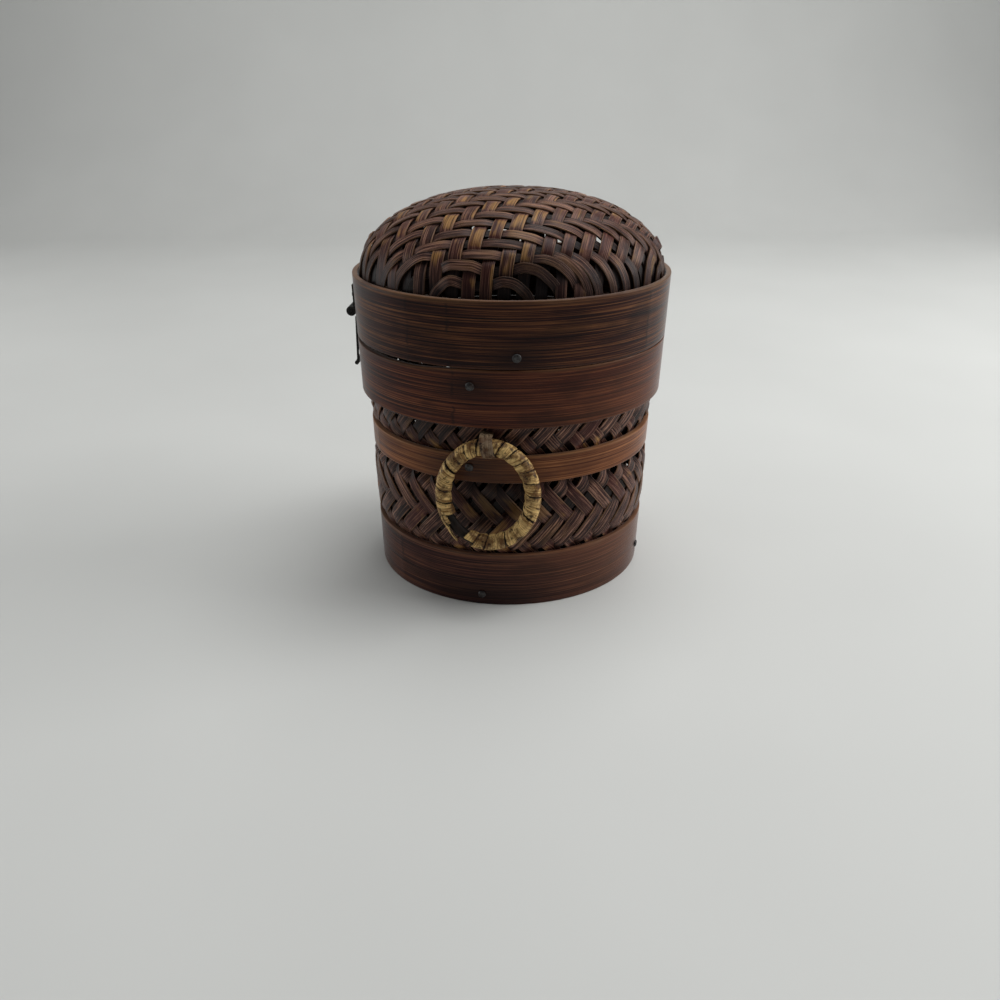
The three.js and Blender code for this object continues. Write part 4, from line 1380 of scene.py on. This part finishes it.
@dataclass
class Bands:
    """All bent wood bands of the basket and the lid."""

    outline: Outline
    ring_shadow_and_stain: StainAndShadow = StainAndShadow(22.0 * MM, 14.0 * MM)
    # Base band: wide dark marks round its front and left nails, partly stain and partly painted shade.
    foot_stain_and_shade: StainAndShadow = StainAndShadow(26.0 * MM, 6.0 * MM)

    def build(self) -> None:
        """Bends every band."""
        lid = BandFinish(
            "lid_band_wood",
            paint(20, 9, 9),
            paint(53, 24, 20),
            paint(126, 82, 50),
            paint(128, 94, 66),
        ).material()
        rim = BandFinish(
            "rim_band_wood",
            paint(26, 10, 9),
            paint(68, 30, 23),
            paint(128, 77, 48),
            paint(122, 86, 60),
            painted_light=0.5,
        ).material()
        middle = BandFinish(
            "middle_band_wood",
            paint(72, 38, 24),
            paint(126, 76, 46),
            paint(172, 114, 72),
            paint(160, 116, 80),
        ).material()
        base = BandFinish(
            "base_band_wood",
            paint(24, 12, 12),
            paint(64, 33, 30),
            paint(124, 80, 56),
            paint(122, 90, 68),
            painted_light=0.6,
        ).material()
        inside = BandFinish(
            "inner_band_wood",
            paint(30, 18, 14),
            paint(62, 39, 29),
            paint(100, 66, 44),
            paint(110, 78, 54),
        ).material()
        lid_nails = ("lid_nail_front", "lid_nail_back")
        self.hoop("lid_hoop", lid, Body.LID, lid_nails, joints=(236, 250, 315, 70), notch=Notch(at_top=False))
        rim_nails = ("rim_nail_front", "rim_nail_back")
        notch = Notch(at_top=True)
        self.hoop("rim_hoop", rim, Body.BASKET, rim_nails, joints=(251, 130), notch=notch, sag=RimSag())
        # Round the ring cores the dark mark on the middle band is painted shadow of the rings; round its
        # nails it is stain.
        mid_nails = ("mid_nail_front", "mid_nail_back", "ring_core_front", "ring_core_back")
        self.hoop(
            "mid_hoop",
            middle,
            Body.BASKET,
            mid_nails,
            joints=(205, 60),
            slot=Slot.PALE_BAND,
            stain=self.ring_shadow_and_stain,
        )
        base_nails = ("base_nail_front", "base_nail_left")
        self.hoop("base_hoop", base, Body.BASKET, base_nails, joints=(222, 100), stain=self.foot_stain_and_shade)
        for node, body, joint in (
            ("lid_inner_hoop", Body.LID, 200),
            ("rim_inner_hoop", Body.BASKET, 30),
            ("base_inner_hoop", Body.BASKET, 120),
        ):
            self.hoop(node, inside, body, (), (joint,), wall=1.6 * MM)

    def hoop(
        self,
        node: str,
        material: Material,
        body: Body,
        nails: Sequence[str],
        joints: Sequence[float],
        notch: Notch | None = None,
        sag: RimSag | None = None,
        slot: Slot = Slot.DARK_BAND,
        wall: float = 2.0 * MM,
        stain: StainAndShadow = StainAndShadow(),
    ) -> None:
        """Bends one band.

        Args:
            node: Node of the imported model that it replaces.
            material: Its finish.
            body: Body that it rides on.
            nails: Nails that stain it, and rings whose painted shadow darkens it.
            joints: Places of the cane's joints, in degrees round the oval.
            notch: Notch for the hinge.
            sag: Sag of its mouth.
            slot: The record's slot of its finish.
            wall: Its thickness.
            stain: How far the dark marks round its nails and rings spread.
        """
        turns = [math.radians(joint) for joint in joints]
        Hoop(self.outline, node, material, body, slot, nails, turns, wall, sag, notch, stain).build()


@dataclass
class CarryingRing:
    """Bent cane ring wound with flat cane, bare at one spot where the winding is torn."""

    joint: SideFrame
    side: str
    body: Body
    cane: Material
    core: Material
    half_width: float = 16.5 * MM
    half_height: float = 19.0 * MM
    tilt: float = math.radians(6)
    core_radius: float = 2.0 * MM
    wrap_radius: float = 2.6 * MM
    turns: int = 23
    cover: float = 0.99
    bare_angle: float = math.radians(227)
    bare_spread: float = math.radians(22)
    steps_each_turn: int = 16
    waver: tuple[Triple, ...] = ((0.14, 2.1, 0.4), (0.1, 3.7, 2.0))
    section: StripSection = StripSection(0.6 * MM, 0.18 * MM)
    tongue_from: float = math.radians(200)
    tongue_to: float = math.radians(236)
    tongue_side: float = math.radians(38)
    tongue_width: float = 2.6 * MM
    tongue_lift: float = 0.9 * MM
    tongue_free_from: float = 0.45
    tongue_taper: float = 0.93
    tongue_steps: int = 20
    tongue_tone: float = 0.8
    core_steps: int = 72
    core_sides: int = 20

    def tube(self, ring_angle: float, tube_angle: float, radius: float) -> Vector:
        """Point of the ring's tube.

        Args:
            ring_angle: Angle round the ring from its right side.
            tube_angle: Angle round the tube from outwards in the ring's plane.
            radius: Distance from the middle of the tube.

        Returns:
            The point in the box's frame.
        """
        across, up = math.cos(ring_angle), math.sin(ring_angle)
        normal = Vector((0, across / self.half_width, up / self.half_height)).normalized()
        spread = radius * math.cos(tube_angle)
        local = Vector((
            radius * math.sin(tube_angle),
            self.half_width * across + spread * normal.y,
            self.half_height * (up - 1) + spread * normal.z,
        ))
        return self.joint.point(Matrix.Rotation(-self.tilt, 3, "Y") @ local)

    def build(self) -> None:
        """Bends the core and winds the cane."""
        bm = bmesh.new()
        steps, sides = self.core_steps, self.core_sides
        made = bmesh.ops.create_grid(bm, x_segments=steps, y_segments=sides, size=1.0)["verts"]
        for vert in made:
            vert.co = self.tube(math.pi * vert.co.x, math.pi * vert.co.y, self.core_radius)
        bmesh.ops.remove_doubles(bm, verts=made, dist=SEAM)
        name = f"ring_core_{self.side}"
        add_piece(bm, f"{name}_bent", self.core, self.body, Slot.RING_CORE, [name])
        bm = layered_bmesh(STRIP_LAYERS)
        self.wind(bm)
        self.tear(bm)
        name = f"ring_wrap_{self.side}"
        add_piece(bm, f"{name}_cane", self.cane, self.body, Slot.RING_CANE, [name])

    def wound(self, turn: float) -> float:
        """How far the winding has come after some turns, in even turns."""
        shift = 0.0
        for size, rate, start in self.waver:
            shift += size / rate * (math.cos(start) - math.cos(rate * turn + start))
        return turn + shift

    def wind(self, bm: BMesh) -> None:
        """Adds the winding, one unbroken strip with uneven turns."""
        run = FULL_TURN - self.bare_spread
        pitch = run / (self.wound(self.turns) + self.cover)
        first = self.bare_angle + self.bare_spread / 2 + self.cover * pitch / 2

        def at(share: float) -> StripFrame:
            turn = self.turns * share
            middle = first + pitch * self.wound(turn)
            tube_angle = FULL_TURN * turn + QUARTER_TURN
            room = self.wound(turn + 0.5) - self.wound(turn - 0.5)
            half = self.cover * pitch * room / 2
            centre = self.tube(middle, tube_angle, self.wrap_radius)
            reach = self.tube(middle + half, tube_angle, self.wrap_radius)
            across = (reach - self.tube(middle - half, tube_angle, self.wrap_radius)) / 2
            out = (self.tube(middle, tube_angle, self.wrap_radius + MM) - centre).normalized()
            return StripFrame(centre, across, out, turn * FULL_TURN * self.wrap_radius, 1.0)

        lay_strip(bm, self.section, self.turns * self.steps_each_turn, 0.5, at)

    def tear(self, bm: BMesh) -> None:
        """Adds the torn tongue of cane that lies over the bare core."""

        def at(share: float) -> StripFrame:
            angle = self.tongue_from + (self.tongue_to - self.tongue_from) * share
            free = smooth_step(share, self.tongue_free_from, 1.0)
            radius = self.wrap_radius + self.tongue_lift * free
            half = self.tongue_width / 2 * (1 - self.tongue_taper * free)
            centre = self.tube(angle, self.tongue_side, radius)
            side = self.tube(angle, self.tongue_side - half / radius, radius)
            across = self.tube(angle, self.tongue_side + half / radius, radius) - side
            out = (self.tube(angle, self.tongue_side, radius + MM) - centre).normalized()
            return StripFrame(centre, across / 2, out, share * self.half_width, 1.0)

        lay_strip(bm, self.section, self.tongue_steps, self.tongue_tone, at)


@dataclass
class RingLoop:
    """Three strands of cane round a ring and through the wall."""

    joint: SideFrame
    side: str
    material: Material
    strands: int = 3
    strand_width: float = 1.7 * MM
    spacing: float = 1.5 * MM
    radius: float = 3.8 * MM
    back: float = 9.6 * MM
    corner: float = 1.0 * MM
    lean: float = 0.8 * MM
    steps: int = 72
    section: StripSection = StripSection(0.8 * MM, 0.12 * MM, 0.15)
    seed: int = 9
    radius_play: float = 0.15 * MM

    def build(self) -> Object:
        """Lays the strands."""
        bm = layered_bmesh(STRIP_LAYERS)
        chance = random.Random(self.seed)
        for strand in range(self.strands):
            aside = (strand - (self.strands - 1) / 2) * self.spacing
            radius = self.radius + chance.uniform(-self.radius_play, self.radius_play)
            self.lay(bm, aside, radius, chance.random())
        name = f"ring_loop_{self.side}"
        return add_piece(bm, f"{name}_cane", self.material, Body.BASKET, Slot.RING_CANE, [name])

    def course(self, radius: float) -> list[tuple[float, float]]:
        """Pieces of the way round the loop from behind the wall: length, and radius of the bend or 0."""
        rise = (radius - self.corner, 0.0)
        turn = (QUARTER_TURN * self.corner, self.corner)
        out = (self.back - self.corner, 0.0)
        return [rise, turn, out, (math.pi * radius, radius), out, turn, rise]

    def lay(self, bm: BMesh, aside: float, radius: float, tone: float) -> None:
        """Adds one strand.

        Args:
            bm: The bmesh of the loop.
            aside: How far the strand lies from the middle of the loop.
            radius: Radius of its bend round the ring.
            tone: Its shade.
        """
        course = self.course(radius)
        whole = sum(length for length, _ in course)

        def spot(share: float) -> tuple[Vector, Vector]:
            rest = whole * share
            point, heading = Vector((-self.back, 0, 0)), QUARTER_TURN
            for length, bend in course:
                step = min(rest, length)
                left = Vector((-math.sin(heading), 0, math.cos(heading)))
                if bend > 0:
                    centre = point - left * bend
                    heading -= step / bend
                    point = centre + Vector((-math.sin(heading), 0, math.cos(heading))) * bend
                else:
                    point = point + Vector((math.cos(heading), 0, math.sin(heading))) * step
                rest -= step
                if rest <= 0:
                    break
            point.y = aside - self.lean * point.z / radius
            return point, Vector((-math.sin(heading), 0, math.cos(heading)))

        def place(share: float) -> Vector:
            return self.joint.point(spot(share)[0])

        def at(share: float) -> StripFrame:
            outward = self.joint.vector(spot(share)[1])
            return strip_frame(place, outward, share, self.strand_width / 2, whole * share, 1.0)

        lay_strip(bm, self.section, self.steps, tone, at)


@dataclass(frozen=True)
class NailSize:
    """Sizes of a round-headed nail."""

    head_radius: float
    head_height: float
    shank_radius: float
    reach: float
    point: float = 0.8 * MM
    gap: float = 0.3 * MM
    dome: tuple[tuple[float, float], ...] = ((0.95, 0.0), (1.0, 0.3), (0.85, 0.7), (0.5, 0.95), (0.0, 1.0))

    def build(self, at: SideFrame, node: str, body: Body, material: Material) -> Object:
        """Turns a nail whose head lies on a face.

        Args:
            at: Frame on the face, outwards.
            node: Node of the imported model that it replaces.
            body: Body that it rides on.
            material: Its finish.

        Returns:
            The new object.
        """
        profile = [
            (0.0, -self.reach),
            (self.shank_radius, self.point - self.reach),
            (self.shank_radius, self.gap),
            *((wide * self.head_radius, self.gap + up * self.head_height) for wide, up in self.dome),
        ]
        bm = bmesh.new()
        revolve(bm, profile, lambda x, y, z: at.point(Vector((x, y, z))))
        return add_piece(bm, f"{node}_round", material, body, Slot.NAIL_METAL, [node])


@dataclass
class Nails:
    """Nails through the bands and the catch stud, by their angles in degrees round the oval."""

    outline: Outline
    material: Material
    size: NailSize = NailSize(1.6 * MM, 0.7 * MM, 0.7 * MM, 6.4 * MM)
    short: NailSize = NailSize(1.6 * MM, 0.7 * MM, 0.7 * MM, 4.5 * MM)
    stud: NailSize = NailSize(1.5 * MM, 0.5 * MM, 0.7 * MM, 2.0 * MM)
    base_front: float = 258.5
    base_right: float = 336.0
    mid_front: float = 255.0
    rim_front: float = 256.3
    lid_front: float = 269.0
    stud_at: float = 172.0
    half_round: float = 180.0

    def build(self) -> None:
        """Drives every nail."""
        for side, turn in (("front", 0.0), ("back", self.half_round)):
            self.drive(f"base_nail_{side}", self.base_front + turn, "base_hoop", Body.BASKET, self.size)
            self.drive(f"mid_nail_{side}", self.mid_front + turn, "mid_hoop", Body.BASKET, self.short)
            self.drive(f"rim_nail_{side}", self.rim_front + turn, "rim_hoop", Body.BASKET, self.size)
            self.drive(f"lid_nail_{side}", self.lid_front + turn, "lid_hoop", Body.LID, self.size)
        for side, turn in (("right", 0.0), ("left", self.half_round)):
            self.drive(f"base_nail_{side}", self.base_right + turn, "base_hoop", Body.BASKET, self.size)
        self.drive("catch_stud", self.stud_at, "rim_hoop", Body.BASKET, self.stud)

    def drive(self, node: str, degrees: float, band: str, body: Body, size: NailSize) -> None:
        """Drives one nail through a band, at an angle in degrees round the oval."""
        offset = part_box(band)[1].x - self.outline.half_length
        low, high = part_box(node)
        at = SideFrame.on(self.outline, math.radians(degrees), offset, (low.z + high.z) / 2)
        size.build(at, node, body, self.material)


def add_block(bm: BMesh, at: SideFrame, low: Vector, high: Vector, soft: float = METAL_EDGE) -> None:
    """Adds a block with softened edges between two corners of a frame."""
    made = bmesh.ops.create_cube(bm, size=1.0)["verts"]
    for vert in made:
        share = vert.co + Vector((0.5, 0.5, 0.5))
        vert.co = at.point(Vector([a + (b - a) * s for a, b, s in zip(low, high, share)]))
    soften(bm, {edge for vert in made for edge in vert.link_edges}, soft)


def add_tube(bm: BMesh, at: SideFrame, bore: float, radius: float, span: tuple[float, float]) -> None:
    """Adds a tube, or a bar when it has no bore, along the second axis of a frame."""
    start, end = span
    soft = METAL_EDGE
    outer = [(radius - soft, start), (radius, start + soft), (radius, end - soft), (radius - soft, end)]
    ends = [(bore, end), (bore, start)] if bore > 0 else []
    profile = [*outer, *ends] if ends else [(0.0, start), *outer, (0.0, end)]
    revolve(bm, profile, lambda y, x, z: at.point(Vector((x, y, z))), closed=bool(ends))


@dataclass
class Hinge:
    """Small hinge let into the joint between the rim and the lid."""

    at: SideFrame
    metal: Material
    tacks: Material
    width: float = 10.0 * MM
    inner: float = 0.69 * MM
    barrel: float = 1.19 * MM
    bore: float = 0.7 * MM
    pin: float = 0.5 * MM
    setback: float = 1.99 * MM
    leaf_height: float = 6.5 * MM
    knuckle: float = 3.13 * MM
    tack_spacing: float = 6.4 * MM
    tack: NailSize = NailSize(0.9 * MM, 0.5 * MM, 0.45 * MM, 2.8 * MM)

    def build(self) -> None:
        """Builds both leaves, their tacks and the pin."""
        half = self.width / 2
        outer = ((-half, -half + self.knuckle), (half - self.knuckle, half))
        self.leaf("hinge_leaf_lid", Body.LID, 1, ((-self.knuckle / 2, self.knuckle / 2),))
        self.leaf("hinge_leaf_body", Body.BASKET, -1, outer)
        bm = bmesh.new()
        add_tube(bm, self.at, 0.0, self.pin, (-half, half))
        add_piece(bm, "hinge_pin_round", self.metal, Body.BASKET, Slot.HASP_METAL, ["hinge_pin"])

    def leaf(self, node: str, body: Body, side: int, spans: Sequence[tuple[float, float]]) -> None:
        """Builds one leaf with its knuckles and tacks.

        Args:
            node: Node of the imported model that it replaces.
            body: Body that it rides on.
            side: 1 for the leaf on the lid, -1 for the one on the basket.
            spans: Where its knuckles start and end along the axis.
        """
        half = self.width / 2
        bm = bmesh.new()
        ends = sorted((side * self.setback, side * (self.setback + self.leaf_height)))
        low, high = Vector((self.inner, -half, ends[0])), Vector((self.barrel, half, ends[1]))
        add_block(bm, self.at, low, high)
        for start, end in spans:
            add_tube(bm, self.at, self.bore, self.barrel, (start, end))
            neck = sorted((side * self.bore, side * (self.setback + self.inner)))
            low, high = Vector((self.inner, start, neck[0])), Vector((self.barrel, end, neck[1]))
            add_block(bm, self.at, low, high)
        add_piece(bm, f"{node}_soft", self.metal, body, Slot.HASP_METAL, [node])
        level = side * (self.setback + self.leaf_height / 2)
        for end, name in ((-1, "front"), (1, "back")):
            spot = self.at.moved(self.barrel, end * self.tack_spacing / 2, level)
            self.tack.build(spot, f"{node}_tack_{name}", body, self.tacks)


@dataclass
class Hasp:
    """Sheet metal hasp on the lid: a plate with two knuckles, a pin, and a flap with an eye."""

    at: SideFrame
    metal: Material
    tacks: Material
    width: float = 9.0 * MM
    wall: float = 0.6 * MM
    barrel: float = 1.9 * MM
    bore: float = 1.0 * MM
    pin: float = 0.8 * MM
    setback: float = 2.2 * MM
    plate_height: float = 8.0 * MM
    flap_knuckle: float = 2.0 * MM
    gap: float = 0.3 * MM
    tack_spacing: float = 5.0 * MM
    tack: NailSize = NailSize(0.9 * MM, 0.5 * MM, 0.45 * MM, 2.9 * MM)
    flap_half: float = 3.7 * MM
    flap_length: float = 22.0 * MM
    flap_tilt: float = math.radians(3)
    curl: float = 0.8 * MM
    eye_drop: float = 17.0 * MM
    eye_radius: float = 2.2 * MM
    eye_sides: int = 48
    sharp_turn: float = math.radians(50)

    def build(self) -> None:
        """Builds the plate, its tacks, the pin and the flap."""
        half = self.width / 2
        outer = self.wall - self.barrel
        bm = bmesh.new()
        top = self.setback + self.plate_height
        add_block(bm, self.at, Vector((-self.barrel, -half, self.setback)), Vector((outer, half, top)))
        inner = self.flap_knuckle + self.gap
        for start, end in ((-half, -inner), (inner, half)):
            add_tube(bm, self.at, self.bore, self.barrel, (start, end))
            neck = Vector((outer, end, self.setback + self.wall))
            add_block(bm, self.at, Vector((-self.barrel, start, self.bore)), neck)
        add_piece(bm, "hasp_plate_soft", self.metal, Body.LID, Slot.HASP_METAL, ["hasp_plate"])
        bm = bmesh.new()
        add_tube(bm, self.at, 0.0, self.pin, (-half, half))
        add_piece(bm, "hasp_pin_round", self.metal, Body.LID, Slot.HASP_METAL, ["hasp_pin"])
        for end, name in ((-1, "back"), (1, "front")):
            spot = self.at.moved(outer, end * self.tack_spacing / 2, (self.setback + top) / 2)
            self.tack.build(spot, f"hasp_tack_{name}", Body.LID, self.tacks)
        self.build_flap()

    def build_flap(self) -> Object:
        """The flap, which hangs a little away from the rim."""
        bm = bmesh.new()
        add_tube(bm, self.at, self.bore, self.barrel, (-self.flap_knuckle, self.flap_knuckle))
        tip = self.curl - self.flap_length
        curl = self.at.moved(self.curl - self.barrel, 0.0, tip)
        add_tube(bm, curl, 0.0, self.curl, (-self.flap_half, self.flap_half))
        outer = self.wall - self.barrel
        neck = Vector((-self.barrel, -self.flap_knuckle, -self.setback - self.wall))
        add_block(bm, self.at, neck, Vector((outer, self.flap_knuckle, -self.bore)))
        self.add_sheet(bm, tip)
        turn = Matrix.Rotation(-self.flap_tilt, 3, self.at.along)
        bmesh.ops.rotate(bm, verts=bm.verts, cent=self.at.origin, matrix=turn)
        return add_piece(bm, "hasp_flap_soft", self.metal, Body.HASP, Slot.HASP_METAL, ["hasp_flap"])

    def add_sheet(self, bm: BMesh, tip: float) -> None:
        """Adds the flap's sheet with its round eye, down to the height of its tip."""
        top = -self.setback + self.eye_drop
        bottom = tip + self.eye_drop
        turns = [FULL_TURN * step / self.eye_sides for step in range(self.eye_sides)]
        for y, z in ((a, b) for a in (-self.flap_half, self.flap_half) for b in (bottom, top)):
            corner = math.atan2(z, y) % FULL_TURN
            turns[min(range(self.eye_sides), key=lambda step: abs(turns[step] - corner))] = corner
        walls = (self.wall - self.barrel, -self.barrel)
        rows = list(zip((*walls, *reversed(walls)), (False, False, True, True)))
        made = bmesh.ops.create_grid(bm, x_segments=self.eye_sides, y_segments=len(rows), size=1.0)["verts"]
        for vert in made:
            turn = turns[round((vert.co.x + 1) / 2 * self.eye_sides) % self.eye_sides]
            x, at_rim = rows[round((vert.co.y + 1) / 2 * len(rows)) % len(rows)]
            y, z = math.cos(turn), math.sin(turn)
            reach = self.eye_radius
            if at_rim:
                end = top if z > 0 else -bottom
                reach = min(self.flap_half / max(abs(y), 1e-6), end / max(abs(z), 1e-6))
            vert.co = self.at.point(Vector((x, y * reach, z * reach - self.eye_drop)))
        bmesh.ops.remove_doubles(bm, verts=made, dist=SEAM)
        kept = {edge for vert in made if vert.is_valid for edge in vert.link_edges}
        soften(bm, [edge for edge in kept if edge.calc_face_angle(0.0) > self.sharp_turn], METAL_EDGE)


@dataclass(frozen=True)
class Lamp:
    """Soft square light: its name, place, length of its sides and power in watts."""

    name: str
    place: Triple
    size: float
    power: float


@dataclass
class Studio:
    """Pale floor that sweeps up behind, soft light and the camera."""

    floor: Material
    half_width: float = 2.0
    front: float = -1.6
    bend: float = 0.7
    bend_radius: float = 0.35
    bend_steps: int = 16
    height: float = 1.6
    focal_length: float = 27.0
    camera_place: Triple = (-18.44 * MM, -290.05 * MM, 190.5 * MM)
    camera_pitch: float = 0.524
    camera_turn: float = -0.048
    aim_height: float = 70 * MM
    sky: Colour = (0.95, 0.97, 1.0, 1.0)
    sky_strength: float = 0.12
    sensor_width: float = 36.0
    clip_start: float = 10 * MM
    lamps: tuple[Lamp, ...] = (
        Lamp("top_light", (0.2, 0.15, 1.15), 0.8, 8.8),
        Lamp("right_light", (0.95, 0.0, 0.55), 0.6, 6.8),
        Lamp("left_light", (-0.95, 0.15, 0.28), 0.6, 2.6),
    )

    def build(self) -> None:
        """Sets the stage."""
        self.build_backdrop()
        for lamp in self.lamps:
            self.build_light(lamp)
        world = bpy.data.worlds.new("studio")
        world.use_nodes = True
        background = world.node_tree.nodes["Background"]
        background.inputs["Color"].default_value = self.sky
        background.inputs["Strength"].default_value = self.sky_strength
        bpy.context.scene.world = world
        bpy.context.scene.view_settings.view_transform = "Standard"
        self.build_camera()

    def build_backdrop(self) -> Object:
        """Floor and backdrop in one sweep."""
        profile = [(self.front, 0.0)]
        for step in range(self.bend_steps + 1):
            turn = QUARTER_TURN * step / self.bend_steps
            rise = self.bend_radius * (1 - math.cos(turn))
            profile.append((self.bend + self.bend_radius * math.sin(turn), rise))
        profile.append((self.bend + self.bend_radius, self.height))
        rows = len(profile) - 1
        bm = bmesh.new()
        for vert in bmesh.ops.create_grid(bm, x_segments=1, y_segments=rows, size=1.0)["verts"]:
            y, z = profile[round((vert.co.y + 1) / 2 * rows)]
            vert.co = Vector((vert.co.x * self.half_width, y, z))
        for face in bm.faces:
            face.smooth = True
        mesh = bpy.data.meshes.new("backdrop")
        bm.to_mesh(mesh)
        bm.free()
        mesh.materials.append(self.floor)
        backdrop = bpy.data.objects.new("backdrop", mesh)
        bpy.context.scene.collection.objects.link(backdrop)
        return backdrop

    def build_light(self, lamp: Lamp) -> Object:
        """Adds a lamp, aimed at the box."""
        data = bpy.data.lights.new(lamp.name, "AREA")
        data.shape = "SQUARE"
        data.size = lamp.size
        data.energy = lamp.power
        light = bpy.data.objects.new(lamp.name, data)
        light.location = lamp.place
        aim = UP * self.aim_height - Vector(lamp.place)
        light.rotation_euler = aim.to_track_quat("-Z", "Y").to_euler()
        bpy.context.scene.collection.objects.link(light)
        return light

    def build_camera(self) -> Object:
        """Adds the camera at the photograph's viewing angle."""
        lens = bpy.data.cameras.new("camera")
        lens.lens = self.focal_length
        lens.sensor_width = self.sensor_width
        lens.clip_start = self.clip_start
        camera = bpy.data.objects.new("camera", lens)
        camera.location = self.camera_place
        camera.rotation_euler = (QUARTER_TURN - self.camera_pitch, 0, self.camera_turn)
        bpy.context.scene.collection.objects.link(camera)
        bpy.context.scene.camera = camera
        return camera


def main() -> None:
    """Builds the box in order."""
    logging.basicConfig(level=logging.INFO, format="%(message)s")
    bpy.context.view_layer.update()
    Studio(StageFinish("floor_paper", paint(208, 209, 206), paint(204, 205, 202)).material()).build()
    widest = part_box("lid_hoop")[1]
    outline = Outline(widest.x, widest.y)
    Bands(outline).build()
    wall_cane = CaneFinish("wall_cane").material()
    WovenWall(outline, OvalWalk(outline), wall_cane).build()
    WovenFloor(outline, wall_cane).build()
    dome_cane = CaneFinish(
        "dome_cane",
        rubbed_at=(-2 * MM, -34 * MM, 141 * MM),
        # Painted shade on the dome's lower front and towards its rim, under the lid's band.
        painted_shade_at=((4 * MM, -48 * MM, 124 * MM),),
        painted_shade_levels=(124 * MM, 140 * MM),
    )
    dome_form = DomeForm.measured(half_wall=1.1 * MM, spring_drop=2.8 * MM)
    WovenDome(dome_form, dome_cane.material()).build()
    ring_cane = RingCaneFinish("ring_cane").material()
    ring_core = CoreFinish("ring_core").material()
    loop_cane = RingCaneFinish("loop_cane", paint(96, 78, 60), paint(150, 128, 102)).material()
    for side, body in (("front", Body.RING_FRONT), ("back", Body.RING_BACK)):
        joint = SideFrame.of_joint(f"ring_{side}_swing")
        CarryingRing(joint, side, body, ring_cane, ring_core).build()
        RingLoop(joint, side, loop_cane).build()
    nail_metal = MetalFinish("nail_metal", paint(42, 40, 40), paint(84, 82, 82)).material()
    hasp_metal = MetalFinish("hasp_metal", paint(24, 24, 24), paint(54, 53, 51)).material()
    Nails(outline, nail_metal).build()
    Hinge(SideFrame.of_joint("lid_hinge"), hasp_metal, nail_metal).build()
    Hasp(SideFrame.of_joint("hasp_swing"), hasp_metal, nail_metal).build()


if __name__ == "__main__":
    main()
